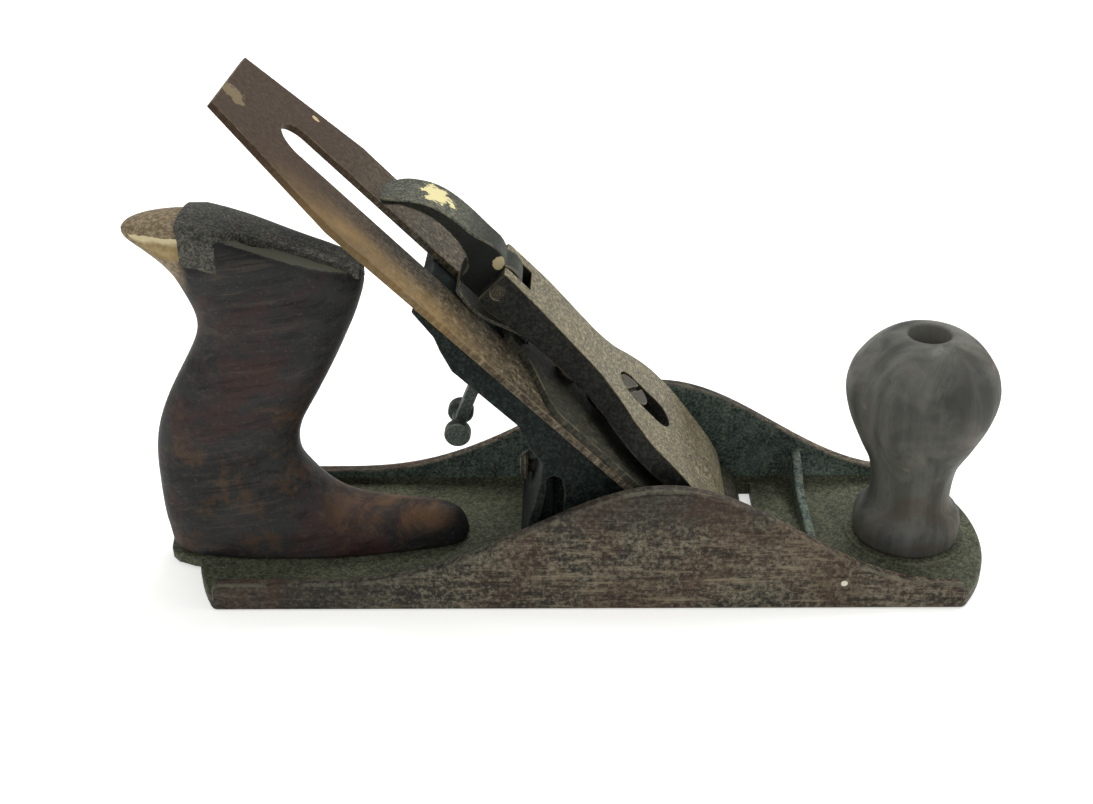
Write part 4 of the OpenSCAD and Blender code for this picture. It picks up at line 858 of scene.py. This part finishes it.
def spline(points, steps):
    """A smooth line through points of two numbers."""
    line = []
    for k in range(len(points) - 1):
        a, b, c, d = (points[min(max(k + j, 0), len(points) - 1)] for j in (-1, 0, 1, 2))
        for s in range(steps):
            t = s / steps
            line.append(tuple(
                0.5 * (2 * b[m] + (c[m] - a[m]) * t
                       + (2 * a[m] - 5 * b[m] + 4 * c[m] - d[m]) * t * t
                       + (3 * b[m] - a[m] - 3 * c[m] + d[m]) * t ** 3) for m in (0, 1)))
    return line + [points[-1]]


class PLANE_OT_knob(bpy.types.Operator):
    """Turn the knob from its profile"""
    bl_idname = "plane.knob"
    bl_label = "Knob"

    def execute(self, context):
        _, wood, _ = settings(context)
        play, neck, foot, hollow, crown = 0.3, 11.25, 14.6, 13.9, 64.6
        low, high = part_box("knob")
        centre = ((low[0] + high[0]) / 2, 0.0, low[2])
        tall, wide = (high[2] - low[2]) / MM, (high[0] - low[0]) / 2 / MM
        rod_low, rod_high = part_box("knob_rod")
        bore = (rod_high[0] - rod_low[0]) / 2 / MM + play
        nut_low, nut_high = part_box("knob_nut")
        well = (nut_high[0] - nut_low[0]) / 2 / MM + play
        well_floor = (nut_low[2] - low[2]) / MM

        def mid(t):
            """A radius between the neck and the widest place."""
            return mix(neck, wide, t)
        outside = spline([(foot, 0.15), (15.0, 1.2), (15.1, 5.4), (14.2, 8.4), (11.85, 11.4),
                          (neck, 15.5), (mid(0.11), 24), (mid(0.47), 31.4), (mid(0.84), 39.7),
                          (mid(1.0), 46.8), (mid(0.93), 52), (mid(0.76), 55.4), (mid(0.45), 59.4),
                          (mid(0.05), 62.6), (well + 2.4, 64.2), (well + 0.8, 64.4)], 6)
        inside = [(well + 0.3, 64.1), (well + 0.02, 63.6), (well, well_floor + 0.2),
                  (well - 0.2, well_floor), (bore + 0.1, well_floor), (bore, well_floor - 0.2),
                  (bore, 0.2), (bore + 0.2, 0.0), (hollow, 0.0), (foot, 0.15)]
        profile = [(r, min(z, crown) * tall / crown) for r, z in outside] + inside
        mesh = bpy.data.meshes.new("knob_profile")
        mesh.from_pydata([(r * MM, 0.0, z * MM) for r, z in profile], [], [])
        turned = run_tree("knob_turning", mesh, lathe_tree(), {
            "Points": len(profile), "Steps": wood.turning_steps, "Axis": centre,
            "Material": knob_material(wood)})
        new_piece("turned_knob", outward(turned), "plane_body", "knob")
        return {"FINISHED"}


class PLANE_OT_tote(bpy.types.Operator):
    """Build the smooth wooden tote and the dark sheet wrapped over its head"""
    bl_idname = "plane.tote"
    bl_label = "Tote"

    def execute(self, context):
        _, wood, _ = settings(context)
        bm = merged_copy("tote")
        mesh = bpy.data.meshes.new("tote_form")
        bm.to_mesh(mesh)
        bm.free()
        smooth = finished(mesh, ("REMESH", {"mode": "VOXEL", "voxel_size": 0.9 * MM}),
                          ("SMOOTH", {"factor": 0.5, "iterations": 14}))
        smooth.shade_smooth()
        new_piece("tote_wooden", smooth, "plane_body", "tote", tote_material(wood))
        new_piece("tote_head_wrap", self.wrap(smooth), "plane_body", "tote_wrap",
                  wrap_material())
        return {"FINISHED"}

    @staticmethod
    def wrap(tote_mesh):
        """The sheet: crowned on top, hanging down both sides at the rear, upright in front."""
        tree = BVHTree.FromPolygons([v.co for v in tote_mesh.vertices],
                                    [p.vertices for p in tote_mesh.polygons])
        # Faces across, down and along the sheet
        across, down, along = 18, 9, 64
        # Lengths run forwards from the rear and heights up from the sole, in millimetres
        rear, start, end = -105.0, -0.9, 44.9
        head, rear_drop, front_drop, knee = 107.0, 2.4, 6.2, 14.7
        slope = math.tan(math.radians(19.8))
        flap, least, play, no_hit, top_half = 9.5, 1.2, 0.3, 4.0, 7.6

        def flat(x):
            """Height of the tote's flat head."""
            return head - max(rear_drop, front_drop + slope * (x - knee))

        def side(x, z, sign):
            """Distance of the tote's side from the middle, near or far."""
            hit = tree.ray_cast(Vector(((rear + x) * MM, sign * 0.05, z * MM)),
                                Vector((0, -sign, 0)))
            return abs(hit[0].y) / MM if hit[0] else no_hit

        def wall(x, base, crown, sign, k, top):
            """The points up one side; k is 1 where the flap hangs whole and 0 without it."""
            depth = max(flap * k, least)
            points = []
            for s in range(down + 1):
                z = mix(base - depth, base + 0.55 * crown, s / down)
                hug = side(x, min(z, base - 0.6), sign) + play
                lean = top + 0.5 * (1 - s / down)
                y = mix(lean, hug, k * (1 - 0.42 * ease((z - base + 1.5) / 3.0)))
                points.append((sign * y, z))
            return points
        rows = []
        for i in range(along + 1):
            x = mix(start, end, i / along)
            base = flat(x)
            crown = 2.25 * (1 - 0.3 * ease((x - 36) / 10))
            # The near flap ends in a rounded corner, the far one shrinks forwards
            corner = min(max((x - 5.0) / 9.6, 0.0), 1.0)
            near_k = (1 - corner ** 2.4) ** 0.45 * (1 - 0.22 * max(0.0, (1.8 - x) / 2.7) ** 2)
            far_k = 1 - 0.55 * ease((x - 9.5) / 20)
            near = wall(x, base, crown, -1, near_k, mix(top_half, 4.2, ease((x - 9) / 6)))
            far = wall(x, base, crown, 1, far_k, mix(top_half, 6.4, ease((x - 12) / 20)))
            arch = []
            for s in range(1, across):
                t = s / across
                bulge = 1 - abs(2 * t - 1) ** 2.2
                arch.append((mix(near[-1][0], far[-1][0], t), near[-1][1] + 0.45 * crown * bulge))
            section = near + arch + list(reversed(far))
            rows.append([((rear + x) * MM, y * MM, z * MM) for y, z in section])
        mesh = grid_mesh("wrap_sheet", rows)
        bm = bmesh.new()
        bm.from_mesh(mesh)
        if sum(f.normal.z for f in bm.faces) < 0:
            bmesh.ops.reverse_faces(bm, faces=bm.faces)
        worn = bm.verts.layers.float.new("worn")
        for vert in {v for e in bm.edges if e.is_boundary for v in e.verts}:
            vert[worn] = 1.0
        bm.to_mesh(mesh)
        bm.free()
        solid = finished(mesh, ("SOLIDIFY", {"thickness": 0.9 * MM, "offset": -1.0}))
        solid.shade_smooth()
        solid.set_sharp_from_angle(angle=SHARP_ANGLE)
        return solid


class PLANE_OT_stage(bpy.types.Operator):
    """Set up the floor, the soft lamps and the camera"""
    bl_idname = "plane.stage"
    bl_label = "Stage"

    def execute(self, context):
        _, _, studio = settings(context)
        scene = context.scene
        self.floor(scene, studio)
        self.world(scene)
        self.lamps(scene, studio)
        self.camera(scene)
        scene.view_settings.view_transform = "Standard"
        return {"FINISHED"}

    @staticmethod
    def floor(scene, studio):
        """A large pale floor that glows only for the camera and for mirrored rays."""
        size, drop, painted_highlight, rough = 4.0, 0.2 * MM, 0.5, 0.9
        made, n, shader, _ = material("floor")
        path = n.put("ShaderNodeLightPath").outputs
        seen = n.math("MAXIMUM", path["Is Camera Ray"],
                      n.math("MAXIMUM", path["Is Glossy Ray"], path["Is Transmission Ray"]))
        for name, value in (("Base Color", studio.floor_tone), ("Roughness", rough),
                            ("Emission Color", (1.0, 0.995, 0.97)),
                            ("Emission Strength", n.times(seen, painted_highlight))):
            n.feed(shader.inputs[name], value)
        mesh = bpy.data.meshes.new("floor")
        mesh.from_pydata([(-size, -size, -drop), (size, -size, -drop), (size, size, -drop),
                          (-size, size, -drop)], [], [(0, 1, 2, 3)])
        mesh.materials.append(made)
        floor = bpy.data.objects.new("floor", mesh)
        scene.collection.objects.link(floor)

    @staticmethod
    def world(scene):
        """A cool dim sky that the camera sees as plain white."""
        world = bpy.data.worlds.new("studio")
        world.use_nodes = True
        n = Nodes(world.node_tree)
        world.node_tree.nodes.clear()
        path = n.put("ShaderNodeLightPath").outputs
        lit = n.put("ShaderNodeBackground", {"Color": (0.95, 0.98, 1.0), "Strength": 0.5})
        white = n.put("ShaderNodeBackground", {"Color": (1.0, 1.0, 1.0), "Strength": 1.0})
        pick = n.put("ShaderNodeMixShader", {0: path["Is Camera Ray"], 1: lit.outputs[0],
                                             2: white.outputs[0]})
        n.put("ShaderNodeOutputWorld", {0: pick.outputs[0]})
        scene.world = world

    @staticmethod
    def lamps(scene, studio):
        """Three round soft lamps aimed at the plane, by place, size and strength."""
        target = Vector((0.0, 0.0, 0.05))
        for name, place, size, power in (("top_lamp", (0.25, 0.45, 0.95), 0.9, 1.25),
                                         ("front_lamp", (-0.5, -0.9, 0.55), 0.8, 0.3),
                                         ("right_lamp", (0.9, -0.2, 0.5), 0.6, 0.3)):
            lamp = bpy.data.lights.new(name, "AREA")
            lamp.shape, lamp.size, lamp.energy = "DISK", size, power * studio.lamp_power
            holder = bpy.data.objects.new(name, lamp)
            holder.location = place
            holder.rotation_euler = (target - Vector(place)).to_track_quat("-Z", "Y").to_euler()
            scene.collection.objects.link(holder)

    @staticmethod
    def camera(scene):
        """The camera of the photograph; the focal length and the width are in its pixels."""
        azimuth, height, roll = 0.03044, 0.51534, -0.02213
        focal, width, sensor = 1379.59, 1093.0, 36.0
        place = (-1.352 * MM, -335.588 * MM, 238.777 * MM)
        back = Vector((math.sin(azimuth) * math.cos(height),
                       -math.cos(azimuth) * math.cos(height), math.sin(height)))
        right = Vector((math.cos(azimuth), math.sin(azimuth), 0.0))
        up = back.cross(right)
        turned = right * math.cos(roll) + up * math.sin(roll)
        up = up * math.cos(roll) - right * math.sin(roll)
        lens = bpy.data.cameras.new("camera")
        lens.sensor_fit, lens.sensor_width = "HORIZONTAL", sensor
        lens.lens = focal * sensor / width
        lens.clip_start = 0.01
        holder = bpy.data.objects.new("camera", lens)
        turn = Matrix((turned, up, back)).transposed().to_4x4()
        holder.matrix_world = Matrix.Translation(place) @ turn
        scene.collection.objects.link(holder)
        scene.camera = holder


class PLANE_PT_panel(bpy.types.Panel):
    """Lists the steps of the smoothing plane"""
    bl_idname = "PLANE_PT_panel"
    bl_label = "Smoothing Plane"
    bl_space_type = "VIEW_3D"
    bl_region_type = "UI"
    bl_category = "Smoothing Plane"

    def draw(self, context):
        for step in OPERATORS:
            self.layout.operator(step.bl_idname)
        for group in settings(context):
            box = self.layout.box()
            for key in group.bl_rna.properties.keys():
                if key not in ("rna_type", "name"):
                    box.prop(group, key)


OPERATORS = (PLANE_OT_castings, PLANE_OT_irons, PLANE_OT_lever_cap, PLANE_OT_fasteners,
             PLANE_OT_knob, PLANE_OT_tote, PLANE_OT_stage)
GROUP_TYPES = (("plane_metal", MetalLooks), ("plane_wood", WoodLooks), ("plane_stage", StageLooks))


def register():
    """Registers the property groups, operators and panel."""
    for name, group in GROUP_TYPES:
        bpy.utils.register_class(group)
        setattr(bpy.types.Scene, name, PointerProperty(type=group))
    for step in OPERATORS:
        bpy.utils.register_class(step)
    bpy.utils.register_class(PLANE_PT_panel)


def unregister():
    """Removes what register added."""
    bpy.utils.unregister_class(PLANE_PT_panel)
    for step in reversed(OPERATORS):
        bpy.utils.unregister_class(step)
    for name, group in GROUP_TYPES:
        delattr(bpy.types.Scene, name)
        bpy.utils.unregister_class(group)


def main():
    """Builds every piece and the stage."""
    register()
    for step in OPERATORS:
        area, name = step.bl_idname.split(".")
        getattr(getattr(bpy.ops, area), name)()


if __name__ == "__main__":
    main()
